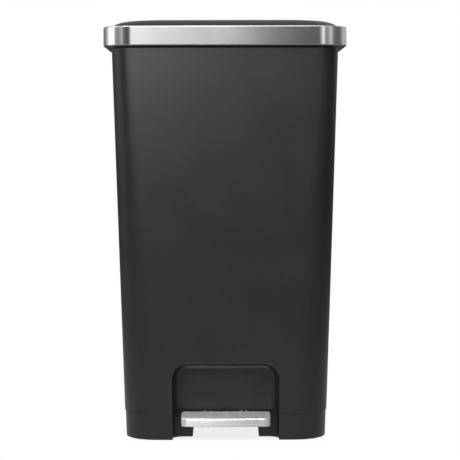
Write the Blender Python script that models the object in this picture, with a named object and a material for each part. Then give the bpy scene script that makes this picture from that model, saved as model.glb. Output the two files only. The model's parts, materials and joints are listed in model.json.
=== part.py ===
"""Pedal trash can: a tapered plastic bin with a steel rim band, a hinged domed lid and a foot pedal.

Units are metres, +Z is up and the front faces -Y. The origin is on the floor, under the middle of
the rim band. Pressing the pedal tips the lever, which lifts a push rod in the rear wall and opens
the lid.
"""
import math

import bpy
from mathutils import Vector

# ---------------------------------------------------------------- driving sizes
TOTAL_HEIGHT = 0.730
BAND_WIDTH = 0.420
BAND_DEPTH = 0.370
BAND_HEIGHT = 0.033
BAND_CORNER = 0.052
FRONT_BOW = 0.003
LID_RISE = 0.013
OVERHANG = 0.014
DRAFT = math.radians(1.63)
BODY_WALL = 0.003
FLOOR_HEIGHT = 0.077
FLOOR_THICKNESS = 0.003
BODY_FOOT_CORNER = 0.056

BASE_HEIGHT = 0.0475
BASE_STEP = 0.0012
BASE_LIFT = 0.0015
FLANGE_WIDTH = 0.028
FLANGE_THICKNESS = 0.003

BAND_THICKNESS = 0.0008
BAND_EDGE = 0.003
BAND_TURN_IN = 0.0125
COLLAR_WALL = 0.0022
LIP_START = 0.0006
LIP_ROOT = 0.0012
LIP_UPPER = 0.0022
LIP_LOWER = 0.0041
SKIRT_DEPTH = 0.0255
LEDGE_DROP = 0.019
LEDGE_INSET = 0.030
REAR_LEDGE_INSET = 0.046
LEDGE_THICKNESS = 0.0025

RECESS_WIDTH = 0.185
RECESS_HEIGHT = 0.135
RECESS_CORNER = 0.028
RECESS_DEPTH = 0.039
RECESS_COVE = 0.020
RECESS_LEVEL = 0.062
LEVER_PORT_WIDTH = 0.118
LEVER_PORT_NARROWING = 0.005

CHANNEL_WIDTH = 0.070
CHANNEL_DEPTH = 0.026
COVER_THICKNESS = 0.0025
COVER_FOOT = 0.060
COVER_SCREW_MARGIN = 0.052

LID_WALL = 0.0025
LID_SHOULDER = 0.014
LID_TRAVEL = math.radians(80)
CRANK_RADIUS = 0.024
HINGE_RISE = 0.0065
HINGE_INSET = 0.007
KNUCKLE_RADIUS = 0.006
HINGE_SPAN = 0.120
KNUCKLE_LENGTH = 0.0294
POST_LENGTH = 0.010

PIVOT_BACK = 0.062
PIVOT_HEIGHT = 0.040
REAR_PIN_INSET = 0.0132
LEVER_WIDTH = 0.052
LEVER_PLATE = 0.003
LEVER_DROP = 0.010
LEVER_TAIL = 0.006
EAR_REACH = 0.0072
EAR_THICKNESS = 0.0025
AXLE_DIAMETER = 0.006
PIN_DIAMETER = 0.005
ROD_DIAMETER = 0.005
EYE_DIAMETER = 0.011
EYE_THICKNESS = 0.005
ROD_X = -0.010
DAMPER_X = 0.014
DAMPER_DIAMETER = 0.015
DAMPER_FOOT = 0.088
DAMPER_LENGTH = 0.084

PEDAL_WIDTH = 0.155
PEDAL_LENGTH = 0.045
PEDAL_REACH = 0.025
PEDAL_FRONT_HEIGHT = 0.043
PEDAL_SLOPE = math.radians(8.5)
PEDAL_LIP = 0.014
PEDAL_CORNER = 0.012
PEDAL_REAR_CORNER = 0.005
PEDAL_BOW = 0.0025
PEDAL_ROLL = 0.002
PEDAL_SHEET = 0.001

FOOT_DIAMETER = 0.022
FOOT_PEG_DIAMETER = 0.006
FOOT_INSET = 0.0165

# ---------------------------------------------------------------- clearances
TOUCH_GAP = 0.0003
LID_GAP = 0.001
RUN_GAP = 0.0003
SLOT_GAP = 0.0011
COVER_GAP = 0.0005

# ---------------------------------------------------------------- mesh fineness
CORNER_STEPS = 5
FRONT_STEPS = 4
COVE_STEPS = 3
ROUND_SIDES = 16
SMALL_SIDES = 12
BEYOND = 0.05

# ---------------------------------------------------------------- derived places
BAND_TOP = TOTAL_HEIGHT - LID_RISE
BAND_BOTTOM = BAND_TOP - BAND_HEIGHT
LEDGE_TOP = BAND_TOP - LEDGE_DROP
BODY_TOP = LEDGE_TOP - LEDGE_THICKNESS - TOUCH_GAP
BODY_FOOT = BASE_HEIGHT + TOUCH_GAP
BIN_FLOOR = FLOOR_HEIGHT + FLOOR_THICKNESS
COLLAR_SKIN = BAND_THICKNESS + TOUCH_GAP
LID_INSET = OVERHANG + TOUCH_GAP
LID_FOOT = LEDGE_TOP + 0.002
LID_EDGE = BAND_TOP
DOME_REACH = 0.055

HINGE_Y = BAND_DEPTH / 2 - HINGE_INSET
HINGE_Z = BAND_TOP + HINGE_RISE
CRANK_Y = HINGE_Y - CRANK_RADIUS * math.cos(LID_TRAVEL / 2)
CRANK_Z = HINGE_Z - CRANK_RADIUS * math.sin(LID_TRAVEL / 2)
ROD_LIFT = 2 * CRANK_RADIUS * math.sin(LID_TRAVEL / 2)
ROD_SWING = CRANK_RADIUS * (1 - math.cos(LID_TRAVEL / 2))

BODY_TOP_WIDTH = BAND_WIDTH - 2 * OVERHANG
BODY_TOP_DEPTH = BAND_DEPTH - 2 * OVERHANG
BODY_TOP_CORNER = BAND_CORNER - OVERHANG


def taper(z):
    """How far each side of the body has drawn in at this height."""
    return (BAND_BOTTOM - z) * math.tan(DRAFT)


def rear_face(z):
    """The y of the body's flat rear face at this height."""
    return BODY_TOP_DEPTH / 2 - taper(z)


REAR_PIN_Z = PIVOT_HEIGHT - ROD_LIFT / 2
REAR_PIN_Y = rear_face(REAR_PIN_Z) - REAR_PIN_INSET
RECESS_BACK = -rear_face(RECESS_LEVEL) + RECESS_DEPTH
PIVOT_Y = RECESS_BACK + PIVOT_BACK
LEVER_ARM = math.hypot(REAR_PIN_Y - PIVOT_Y, ROD_LIFT / 2)
LEVER_REST = math.asin(ROD_LIFT / 2 / LEVER_ARM)
PEDAL_FRONT = -rear_face(PEDAL_FRONT_HEIGHT) - PEDAL_REACH
PEDAL_BACK = PEDAL_FRONT + PEDAL_LENGTH
CAVITY_REAR = BAND_DEPTH / 2 - REAR_LEDGE_INSET

CRANK_PIN = Vector((ROD_X, CRANK_Y, CRANK_Z))
PIVOT = Vector((0, PIVOT_Y, PIVOT_HEIGHT))
HINGE = Vector((0, HINGE_Y, HINGE_Z))
ORIGIN = Vector((0, 0, 0))
X_AXIS = Vector((1, 0, 0))
Y_AXIS = Vector((0, 1, 0))
Z_AXIS = Vector((0, 0, 1))


# ---------------------------------------------------------------- helpers
def clear_scene():
    for old in list(bpy.data.objects):
        bpy.data.objects.remove(old, do_unlink=True)


def make_material(name, colour, roughness, metallic=0.0):
    material = bpy.data.materials.new(name)
    material.use_nodes = True
    shader = material.node_tree.nodes["Principled BSDF"]
    shader.inputs["Base Color"].default_value = (*colour, 1)
    shader.inputs["Roughness"].default_value = roughness
    shader.inputs["Metallic"].default_value = metallic
    return material


def make_object(name, points, faces, material, origin=ORIGIN, tilt=0.0):
    """Build one object whose points are given about its own origin."""
    mesh = bpy.data.meshes.new(name)
    mesh.from_pydata([tuple(point) for point in points], [], faces)
    mesh.shade_smooth()
    mesh.set_sharp_from_angle(angle=math.radians(30))
    thing = bpy.data.objects.new(name, mesh)
    bpy.context.scene.collection.objects.link(thing)
    thing.location = origin
    thing.rotation_euler.x = tilt
    if material:
        mesh.materials.append(material)
    return thing


def lofted(name, loops, material=None, ring=False, origin=ORIGIN, tilt=0.0):
    """Bridge loops of equal length. A ring joins the last to the first, or else both ends are capped."""
    count = len(loops[0])
    points = [Vector(point) - (origin if not tilt else ORIGIN) for loop in loops for point in loop]
    faces = []
    stages = len(loops) if ring else len(loops) - 1
    for stage in range(stages):
        low = stage * count
        high = ((stage + 1) % len(loops)) * count
        for i in range(count):
            j = (i + 1) % count
            faces.append((low + i, low + j, high + j, high + i))
    if not ring:
        faces.append(tuple(reversed(range(count))))
        faces.append(tuple(range((len(loops) - 1) * count, len(loops) * count)))
    return make_object(name, points, faces, material, origin, tilt)


def circle(centre, direction, radius, sides):
    """A circle of points, anticlockwise about its direction."""
    direction = direction.normalized()
    side = direction.cross(Z_AXIS)
    if side.length < 0.1:
        side = X_AXIS.copy()
    side.normalize()
    up = direction.cross(side)
    turns = [2 * math.pi * i / sides for i in range(sides)]
    return [centre + radius * (math.cos(turn) * side + math.sin(turn) * up) for turn in turns]


def turned(name, start, direction, profile, material=None, sides=ROUND_SIDES, ring=False,
           origin=ORIGIN, tilt=0.0):
    """Turn a profile of (distance along the axis, radius) steps about an axis."""
    direction = direction.normalized()
    loops = [circle(start + direction * along, direction, radius, sides) for along, radius in profile]
    return lofted(name, loops, material, ring, origin, tilt)


def pin(name, start, end, diameter, material=None, sides=ROUND_SIDES, origin=ORIGIN, tilt=0.0):
    """A plain round bar from start to end."""
    length = (end - start).length
    radius = diameter / 2
    return turned(name, start, end - start, [(0, radius), (length, radius)], material, sides,
                  origin=origin, tilt=tilt)


def block(name, low, high, material=None, origin=ORIGIN, tilt=0.0):
    """A box between two corners."""
    loops = []
    for z in (low[2], high[2]):
        loops.append([(low[0], low[1], z), (high[0], low[1], z), (high[0], high[1], z), (low[0], high[1], z)])
    return lofted(name, loops, material, origin=origin, tilt=tilt)


def boolean(target, tool, operation):
    """Cut, join or keep the overlap of target with a hidden tool."""
    modifier = target.modifiers.new(tool.name, 'BOOLEAN')
    modifier.operation = operation
    modifier.solver = 'EXACT'
    modifier.object = tool
    tool.hide_render = True
    tool.display_type = 'WIRE'
    return target


def cut(target, *tools):
    for tool in tools:
        boolean(target, tool, 'DIFFERENCE')


def join(target, *tools):
    for tool in tools:
        boolean(target, tool, 'UNION')


def outline(width, depth, corner, z, shift=0.0):
    """A rounded rectangle with a bowed front, anticlockwise from above. Shift moves it along y."""
    half_x = width / 2
    half_y = depth / 2
    front = half_y - FRONT_BOW
    corner = max(corner, 0.002)
    centres = ((half_x - corner, half_y - corner), (corner - half_x, half_y - corner),
               (corner - half_x, corner - front), (half_x - corner, corner - front))
    points = []
    for quarter, (x, y) in enumerate(centres):
        for step in range(CORNER_STEPS + 1):
            angle = math.pi / 2 * (quarter + step / CORNER_STEPS)
            points.append((x + corner * math.cos(angle), y + corner * math.sin(angle)))
        if quarter == 2:
            for step in range(1, FRONT_STEPS):
                x_step = centres[2][0] + (centres[3][0] - centres[2][0]) * step / FRONT_STEPS
                points.append((x_step, -front))
    bowed = []
    for x, y in points:
        swell = FRONT_BOW / front * (1 - (x / half_x) ** 2)
        bowed.append((x, y * (1 + swell) + shift if y < 0 else y + shift, z))
    return bowed


def rim_loop(inset, z):
    """The rim's outline drawn in by an inset."""
    return outline(BAND_WIDTH - 2 * inset, BAND_DEPTH - 2 * inset, BAND_CORNER - inset, z)


def mouth_loop(grow, z):
    """The outline of the mouth inside the ledge, which stops short of the rear channel."""
    width = BAND_WIDTH - 2 * (LEDGE_INSET - grow)
    front = BAND_DEPTH / 2 - LEDGE_INSET + grow
    rear = CAVITY_REAR + grow
    return outline(width, front + rear, BAND_CORNER - LEDGE_INSET + grow, z, shift=(rear - front) / 2)


def body_corner(z):
    """The body's corner radius at this height, which grows from the top to the foot."""
    part = (BAND_BOTTOM - z) / (BAND_BOTTOM - BODY_FOOT)
    return BODY_TOP_CORNER + (BODY_FOOT_CORNER - BODY_TOP_CORNER) * part


def body_loop(z, inset=0.0):
    """The body's outline at a height, drawn in by an inset."""
    drawn = 2 * (taper(z) + inset)
    return outline(BODY_TOP_WIDTH - drawn, BODY_TOP_DEPTH - drawn, body_corner(z) - inset, z)


def base_loop(z, inset=0.0):
    return body_loop(z, inset + BASE_STEP)


def recess_prism(name, grow, low, high):
    """The foot recess as a solid, grown by a wall, between two heights."""
    loops = []
    reach = RECESS_COVE + grow
    stations = [(-BAND_DEPTH / 2 - BEYOND, 0.0)]
    for step in range(COVE_STEPS + 1):
        angle = math.pi / 2 * step / COVE_STEPS
        stations.append((RECESS_BACK + grow - reach + reach * math.sin(angle),
                         reach * (1 - math.cos(angle))))
    for y, inset in stations:
        half = RECESS_WIDTH / 2 + grow - inset
        top = min(RECESS_HEIGHT + grow - inset, high)
        corner = max(RECESS_CORNER + grow - inset, 0.006)
        loop = [(-half, y, low), (half, y, low)]
        for centre, start in (((half - corner), 0), ((corner - half), 90)):
            for step in range(CORNER_STEPS + 1):
                angle = math.radians(start + 90 * step / CORNER_STEPS)
                loop.append((centre + corner * math.cos(angle), y,
                             top - corner + corner * math.sin(angle)))
        loops.append(loop[::-1])
    return lofted(name, loops)


def slanted_block(name, half_width, deep, shallow, low, high):
    """A block parallel to the slanting rear face, between two depths in from that face."""
    loops = []
    for z in (low, high):
        inner = rear_face(z) - deep
        outer = rear_face(z) - shallow
        loops.append([(-half_width, inner, z), (half_width, inner, z),
                      (half_width, outer, z), (-half_width, outer, z)])
    return lofted(name, loops)


# ---------------------------------------------------------------- materials
CHARCOAL = make_material("charcoal_plastic", (0.045, 0.043, 0.046), 0.5)
BLACK = make_material("black_plastic", (0.018, 0.018, 0.020), 0.45)
GREY = make_material("grey_plastic", (0.16, 0.16, 0.165), 0.5)
BRUSHED = make_material("brushed_steel", (0.60, 0.60, 0.60), 0.3, 1.0)
ZINC = make_material("zinc_steel", (0.45, 0.46, 0.48), 0.38, 1.0)
RUBBER = make_material("black_rubber", (0.012, 0.012, 0.012), 0.85)
NYLON = make_material("white_nylon", (0.75, 0.74, 0.70), 0.5)


# ---------------------------------------------------------------- body and base
def screw_spots():
    """Where the four base screws stand, inside the body's corners."""
    x = BODY_TOP_WIDTH / 2 - taper(BODY_FOOT) - BODY_FOOT_CORNER - 0.010
    y = BODY_TOP_DEPTH / 2 - taper(BODY_FOOT) - BASE_STEP - BODY_WALL - 0.0147
    return {"front_left": (-x, -y), "front_right": (x, -y), "rear_left": (-x, y), "rear_right": (x, y)}


def cover_spots():
    """Where the four cover screws sit on the rear face."""
    x = CHANNEL_WIDTH / 2 - 0.006
    low = COVER_FOOT + COVER_SCREW_MARGIN
    top = BODY_TOP - COVER_SCREW_MARGIN
    return {"low_left": (-x, low), "low_right": (x, low), "top_left": (-x, top), "top_right": (x, top)}


def rear_screw(name, spot, profile, material=None, start_depth=0.0):
    """Turn a profile along -Y from a depth inside the rear face."""
    x, z = spot
    start = Vector((x, rear_face(z) - start_depth, z))
    return turned(name, start, -Y_AXIS, profile, material, SMALL_SIDES)


CHEEK_INNER = LEVER_WIDTH / 2 + 0.004
CHEEK_THICKNESS = 0.004
BUSH_DIAMETER = 0.009
SCREW_SHANK = 0.003
SCREW_BORE = SCREW_SHANK + 2 * RUN_GAP
SCREW_HEAD = 0.007


def make_body():
    shell = lofted("body_shell", [
        body_loop(FLOOR_HEIGHT, BODY_WALL),
        body_loop(BODY_FOOT, BODY_WALL),
        body_loop(BODY_FOOT),
        body_loop(BODY_TOP),
        body_loop(BODY_TOP, BODY_WALL),
        body_loop(BIN_FLOOR, BODY_WALL)], CHARCOAL)
    middle = BODY_WALL / 2
    recess_top = RECESS_HEIGHT + 2 * BODY_WALL
    recess_core = lofted("recess_core", [body_loop(BODY_FOOT + 0.0005, middle),
                                         body_loop(recess_top + BEYOND, middle)])
    recess_walls = recess_prism("recess_walls", BODY_WALL, 0.0, recess_top)
    boolean(recess_walls, recess_core, 'INTERSECT')
    half_channel = CHANNEL_WIDTH / 2
    channel_walls = slanted_block("channel_walls", half_channel + BODY_WALL, CHANNEL_DEPTH + BODY_WALL,
                                  middle, FLOOR_HEIGHT + middle, BODY_TOP - 0.0005)
    channel = slanted_block("channel_space", half_channel, CHANNEL_DEPTH, -BEYOND, COVER_FOOT,
                            BODY_TOP + BEYOND)
    join(shell, recess_walls, channel_walls)
    cut(shell, recess_prism("recess_space", 0.0, -BEYOND, RECESS_HEIGHT), channel)
    for side in (-1, 1):
        add_cheek(shell, side)
    for place, spot in cover_spots().items():
        reach = CHANNEL_DEPTH + BODY_WALL / 2 - COVER_THICKNESS - TOUCH_GAP
        post = rear_screw("cover_post_" + place, spot, [(0, 0.0065), (reach, 0.0065)],
                          start_depth=COVER_THICKNESS + TOUCH_GAP)
        join(shell, post)
        cut(shell, rear_screw("cover_bore_" + place, spot, [(0, SCREW_BORE / 2), (0.016, SCREW_BORE / 2)],
                              start_depth=-0.001))
    add_damper_saddle(shell)
    for place, (x, y) in screw_spots().items():
        top = Vector((x, y, FLOOR_HEIGHT + middle))
        foot = Vector((x, y, flange_top() + TOUCH_GAP))
        join(shell, pin("base_boss_" + place, foot, top, 0.010, sides=SMALL_SIDES))
        cut(shell, pin("base_bore_" + place, foot - Z_AXIS * 0.002, foot + Z_AXIS * 0.018, SCREW_BORE,
                       sides=SMALL_SIDES))
    return shell


def add_cheek(shell, side):
    """A cheek hangs from the floor and holds one end of the lever's axle in a bush."""
    name = "left" if side < 0 else "right"
    inner = side * CHEEK_INNER
    outer = side * (CHEEK_INNER + CHEEK_THICKNESS)
    low = (min(inner, outer), PIVOT_Y - 0.014, PIVOT_HEIGHT - 0.010)
    high = (max(inner, outer), PIVOT_Y + 0.014, FLOOR_HEIGHT + 0.001)
    join(shell, block("cheek_" + name, low, high))
    start = Vector((min(inner, outer) - 0.001, PIVOT_Y, PIVOT_HEIGHT))
    end = Vector((max(inner, outer) + 0.001, PIVOT_Y, PIVOT_HEIGHT))
    cut(shell, pin("cheek_bore_" + name, start, end, BUSH_DIAMETER + 2 * RUN_GAP))


def add_damper_saddle(shell):
    """A moulded saddle and stop hold the damper's cylinder in the channel."""
    top = DAMPER_FOOT + DAMPER_LENGTH
    half = DAMPER_DIAMETER / 2 + 0.0015
    middle = DAMPER_FOOT + DAMPER_LENGTH / 2
    wall = rear_face(top) - CHANNEL_DEPTH - BODY_WALL / 2
    front = REAR_PIN_Y + 0.004
    for name, low, high in (("saddle", middle - 0.006, middle + 0.006), ("stop", top + TOUCH_GAP, top + 0.005)):
        join(shell, block("damper_" + name, (DAMPER_X - half, wall, low), (DAMPER_X + half, front, high)))
    start = Vector((DAMPER_X, REAR_PIN_Y, middle - 0.012))
    cut(shell, pin("saddle_bore", start, start + Z_AXIS * 0.024, DAMPER_DIAMETER + 2 * RUN_GAP))


def flange_top():
    return BASE_LIFT + 0.003 + FLANGE_THICKNESS


def foot_spots():
    """Where the four rubber feet sit, round the base's corners."""
    half_x = BODY_TOP_WIDTH / 2 - taper(BASE_LIFT) - BASE_STEP
    half_y = BODY_TOP_DEPTH / 2 - taper(BASE_LIFT) - BASE_STEP
    corner = body_corner(BASE_LIFT) - BASE_STEP
    reach = (corner - FOOT_INSET) * math.sqrt(0.5)
    x = half_x - corner + reach
    rear = half_y - corner + reach
    front = FRONT_BOW - rear
    return {"front_left": (-x, front), "front_right": (x, front), "rear_left": (-x, rear), "rear_right": (x, rear)}


def lever_port():
    """The opening in the recess's rear wall that the lever passes through."""
    low = LEVER_PORT_WIDTH / 2
    high = low - LEVER_PORT_NARROWING
    top = BASE_HEIGHT + COVER_GAP
    foot = -BEYOND
    return lofted("lever_port", [[(-high, y, top), (high, y, top), (low, y, foot), (-low, y, foot)]
                                 for y in (RECESS_BACK - BODY_WALL, RECESS_BACK + 2 * BODY_WALL)])


def make_base():
    tongue = BODY_WALL + TOUCH_GAP - BASE_STEP
    flange_foot = flange_top() - FLANGE_THICKNESS
    profile = [
        (0.0, BASE_LIFT + 0.002), (0.0, BASE_HEIGHT), (tongue, BASE_HEIGHT), (tongue, BASE_HEIGHT + 0.0100),
        (tongue + 0.0024, BASE_HEIGHT + 0.0100), (tongue + 0.0024, BASE_HEIGHT - 0.0040),
        (BODY_WALL, BASE_HEIGHT - 0.0055), (BODY_WALL, flange_top()), (FLANGE_WIDTH, flange_top()),
        (FLANGE_WIDTH, flange_foot), (0.0035, flange_foot), (0.0035, BASE_LIFT), (0.0020, BASE_LIFT)]
    base = lofted("base_ring", [base_loop(z, inset) for inset, z in profile], CHARCOAL, ring=True)
    clear = RECESS_WIDTH / 2 + BODY_WALL + COVER_GAP
    cut(base, block("tongue_gap", (-clear, -BAND_DEPTH / 2, BASE_HEIGHT + 0.0001),
                    (clear, RECESS_BACK, BASE_HEIGHT + BEYOND)))
    core = lofted("base_recess_core", [base_loop(BASE_LIFT + 0.0005, BODY_WALL / 2),
                                       base_loop(BASE_HEIGHT - 0.0005, BODY_WALL / 2)])
    walls = recess_prism("base_recess_walls", BODY_WALL, -BEYOND, RECESS_HEIGHT)
    boolean(walls, core, 'INTERSECT')
    join(base, walls)
    cut(base, recess_prism("base_recess_space", 0.0, -2 * BEYOND, RECESS_HEIGHT), lever_port())
    for place, (x, y) in screw_spots().items():
        cut(base, pin("flange_bore_" + place, Vector((x, y, -0.01)), Vector((x, y, 0.02)), SCREW_BORE,
                      sides=SMALL_SIDES))
    for place, (x, y) in foot_spots().items():
        cut(base, pin("foot_bore_" + place, Vector((x, y, -0.01)), Vector((x, y, 0.02)),
                      FOOT_PEG_DIAMETER + 2 * RUN_GAP, sides=SMALL_SIDES))
    return base


def make_feet_and_base_screws():
    flange_foot = flange_top() - FLANGE_THICKNESS
    pad = flange_foot - TOUCH_GAP
    for place, (x, y) in foot_spots().items():
        radius = FOOT_DIAMETER / 2
        turned("foot_" + place, Vector((x, y, 0)), Z_AXIS,
               [(0, radius - 0.0012), (0.0012, radius), (pad, radius), (pad, FOOT_PEG_DIAMETER / 2),
                (pad + 0.006, FOOT_PEG_DIAMETER / 2)],
               RUBBER)
    for place, (x, y) in screw_spots().items():
        screw("base_screw_" + place, Vector((x, y, flange_foot - TOUCH_GAP)), Z_AXIS, 0.017)


def screw(name, seat, direction, length, origin=ORIGIN):
    """A screw whose head bears at seat and whose shank runs along direction."""
    head = 0.0022
    turned(name, seat - direction * head, direction,
           [(0, SCREW_HEAD / 2 - 0.0008), (0.0008, SCREW_HEAD / 2), (head, SCREW_HEAD / 2),
            (head, SCREW_SHANK / 2), (head + length, SCREW_SHANK / 2)], ZINC, SMALL_SIDES, origin=origin)


def make_rear_cover():
    cover = slanted_block("rear_cover", CHANNEL_WIDTH / 2 - COVER_GAP, COVER_THICKNESS, 0.0,
                          COVER_FOOT + COVER_GAP, BODY_TOP - 0.003)
    cover.data.materials.append(CHARCOAL)
    for place, spot in cover_spots().items():
        cut(cover, rear_screw("cover_hole_" + place, spot, [(0, SCREW_BORE / 2), (0.008, SCREW_BORE / 2)],
                              start_depth=-0.003))
        x, z = spot
        screw("cover_screw_" + place, Vector((x, rear_face(z) + TOUCH_GAP + 0.0001, z)), -Y_AXIS, 0.012)


# ---------------------------------------------------------------- rim
def make_rim():
    skin = COLLAR_SKIN
    inside = skin + COLLAR_WALL
    throat = LID_INSET - LID_GAP
    top = BAND_TOP - BAND_THICKNESS - TOUCH_GAP
    under = top - COLLAR_WALL
    ledge_foot = LEDGE_TOP - LEDGE_THICKNESS
    skirt = OVERHANG + BODY_WALL + 0.0012
    lip = OVERHANG - 0.0007
    loops = [
        rim_loop(skin, BAND_BOTTOM - LIP_START), rim_loop(skin, top - COLLAR_WALL), rim_loop(inside, top),
        rim_loop(throat, top), rim_loop(throat, LEDGE_TOP),
        mouth_loop(0.0, LEDGE_TOP), mouth_loop(0.0, LEDGE_TOP - 0.008), mouth_loop(0.002, LEDGE_TOP - 0.008),
        mouth_loop(0.002, ledge_foot),
        rim_loop(skirt + COLLAR_WALL, ledge_foot), rim_loop(skirt + COLLAR_WALL, ledge_foot - SKIRT_DEPTH),
        rim_loop(skirt, ledge_foot - SKIRT_DEPTH), rim_loop(skirt, ledge_foot),
        rim_loop(throat - COLLAR_WALL, ledge_foot), rim_loop(throat - COLLAR_WALL, under),
        rim_loop(inside, under), rim_loop(inside, BAND_BOTTOM + LIP_ROOT),
        rim_loop(lip, BAND_BOTTOM - LIP_UPPER), rim_loop(lip, BAND_BOTTOM - LIP_LOWER)]
    collar = lofted("rim_collar", loops, BLACK, ring=True)
    half_gap = CHANNEL_WIDTH / 2 + BODY_WALL + COVER_GAP
    cut(collar, block("skirt_gap", (-half_gap, CAVITY_REAR + 0.003, BAND_BOTTOM - BEYOND),
                      (half_gap, BAND_DEPTH / 2 - OVERHANG - 0.0008, ledge_foot - 0.0001)))
    cut(collar, block("rod_slot", (ROD_X - 0.006, CRANK_Y - ROD_SWING - 0.006, ledge_foot - 0.001),
                      (ROD_X + 0.006, CRANK_Y + 0.005, LEDGE_TOP + 0.001)))
    edge = BAND_EDGE
    steel = BAND_THICKNESS
    turn = edge * 0.3
    inner_turn = turn + steel * 0.8
    band = lofted("rim_band", [
        rim_loop(0.0, BAND_BOTTOM), rim_loop(0.0, BAND_TOP - edge), rim_loop(turn, BAND_TOP - turn),
        rim_loop(edge, BAND_TOP), rim_loop(BAND_TURN_IN, BAND_TOP), rim_loop(BAND_TURN_IN, BAND_TOP - steel),
        rim_loop(edge, BAND_TOP - steel), rim_loop(inner_turn, BAND_TOP - inner_turn),
        rim_loop(steel, BAND_TOP - edge), rim_loop(steel, BAND_BOTTOM)], BRUSHED, ring=True)
    for side in (-1, 1):
        add_hinge(collar, band, side)


def add_hinge(collar, band, side):
    """Two posts on the collar hold a pin, and the lid's knuckle turns on it between them."""
    name = "left" if side < 0 else "right"
    middle = side * HINGE_SPAN
    start = KNUCKLE_LENGTH / 2 + TOUCH_GAP
    half_post = KNUCKLE_RADIUS - 0.0012
    for place, low in (("a", middle - start - POST_LENGTH), ("b", middle + start)):
        high = low + POST_LENGTH
        join(collar, block("post_block_%s_%s" % (name, place), (low, HINGE_Y - half_post, BAND_TOP - 0.0025),
                           (high, HINGE_Y + half_post, HINGE_Z)))
        join(collar, pin("post_round_%s_%s" % (name, place), Vector((low, HINGE_Y, HINGE_Z)),
                         Vector((high, HINGE_Y, HINGE_Z)), 2 * KNUCKLE_RADIUS))
    reach = start + POST_LENGTH
    ends = [Vector((middle + way * (reach + 0.001), HINGE_Y, HINGE_Z)) for way in (-1, 1)]
    cut(collar, pin("post_bore_" + name, ends[0], ends[1], PIN_DIAMETER + 2 * RUN_GAP))
    notch = reach + COVER_GAP
    front = BAND_DEPTH / 2 - BAND_TURN_IN - 0.002
    cut(band, block("band_notch_" + name, (middle - notch, front, BAND_TOP - 0.0015),
                    (middle + notch, BAND_DEPTH / 2 - 0.0009, BAND_TOP + 0.003)))
    pin("hinge_pin_" + name, ends[0], ends[1], PIN_DIAMETER, ZINC)


# ---------------------------------------------------------------- lid
def dome_height(inset):
    """The lid's outer surface at a distance in from its edge."""
    full = 1 - math.exp(-DOME_REACH / LID_SHOULDER)
    return LID_EDGE + LID_RISE * (1 - math.exp(-inset / LID_SHOULDER)) / full


def lid_loop(inset, z):
    """The lid's outline drawn in by an inset, softer at its corners as it nears the middle."""
    drawn = 2 * (LID_INSET + inset)
    return outline(BAND_WIDTH - drawn, BAND_DEPTH - drawn, BAND_CORNER - LID_INSET + 0.4 * inset, z)


def make_lid():
    steps = (0.0, 0.003, 0.008, 0.016, 0.030, DOME_REACH)
    under = LID_WALL + 0.0002
    outer = [lid_loop(0.0, LID_FOOT)] + [lid_loop(inset, dome_height(inset)) for inset in steps]
    inner = [lid_loop(max(inset, LID_WALL), dome_height(inset) - under) for inset in reversed(steps[1:])]
    inner.append(lid_loop(LID_WALL, LID_FOOT))
    lid = lofted("lid_shell", inner + outer, BLACK, origin=HINGE)
    for side in (-1, 1):
        add_lid_arm(lid, side)
    for place, (x, y) in liner_spots().items():
        add_lid_boss(lid, "liner_" + place, x, y, liner_top() + TOUCH_GAP)
    for place, (x, y) in crank_spots().items():
        add_lid_boss(lid, "crank_" + place, x, y, crank_seat() + TOUCH_GAP)
    cut(lid, block("lid_notch", (ROD_X - 0.010, CRANK_Y, LID_FOOT - 0.001),
                   (ROD_X + 0.010, HINGE_Y, CRANK_Z + 0.0045)))
    return lid


def add_lid_arm(lid, side):
    name = "left" if side < 0 else "right"
    low = side * HINGE_SPAN - KNUCKLE_LENGTH / 2
    high = low + KNUCKLE_LENGTH
    side_line = ((0.0, -0.0042), (0.0, 0.0048), (-0.022, 0.0042), (-0.034, 0.0028), (-0.034, -0.0005),
                 (-0.012, -0.0042))
    arm = lofted("lid_arm_" + name, [[(x, HINGE_Y + along, HINGE_Z + rise) for along, rise in side_line]
                                     for x in (low, high)])
    knuckle = pin("lid_knuckle_" + name, Vector((low, HINGE_Y, HINGE_Z)), Vector((high, HINGE_Y, HINGE_Z)),
                  2 * KNUCKLE_RADIUS)
    join(lid, arm, knuckle)
    cut(lid, pin("knuckle_bore_" + name, Vector((low - 0.001, HINGE_Y, HINGE_Z)),
                 Vector((high + 0.001, HINGE_Y, HINGE_Z)), PIN_DIAMETER + 2 * RUN_GAP))


def add_lid_boss(lid, name, x, y, foot):
    """A boss hangs from the dome, with a blind bore for a screw."""
    edge = BAND_DEPTH / 2 - LID_INSET - abs(y)
    top = dome_height(min(edge, DOME_REACH)) - LID_WALL / 2
    join(lid, pin("boss_" + name, Vector((x, y, foot)), Vector((x, y, top)), 0.009, sides=SMALL_SIDES))
    cut(lid, pin("boss_bore_" + name, Vector((x, y, foot - 0.002)), Vector((x, y, foot + 0.0065)),
                 SCREW_BORE, sides=SMALL_SIDES))


def liner_spots():
    x = BAND_WIDTH / 2 - 0.090
    y = BAND_DEPTH / 2 - 0.085
    return {"front_left": (-x, -y), "front_right": (x, -y), "rear_left": (-x, y), "rear_right": (x, y)}


def crank_spots():
    return {"left": (ROD_X - 0.015, CRANK_Y - 0.013), "right": (ROD_X + 0.015, CRANK_Y - 0.013)}


def liner_top():
    return LEDGE_TOP + 0.007


def crank_seat():
    return CRANK_Z + EYE_DIAMETER / 2 + 0.0045


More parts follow.
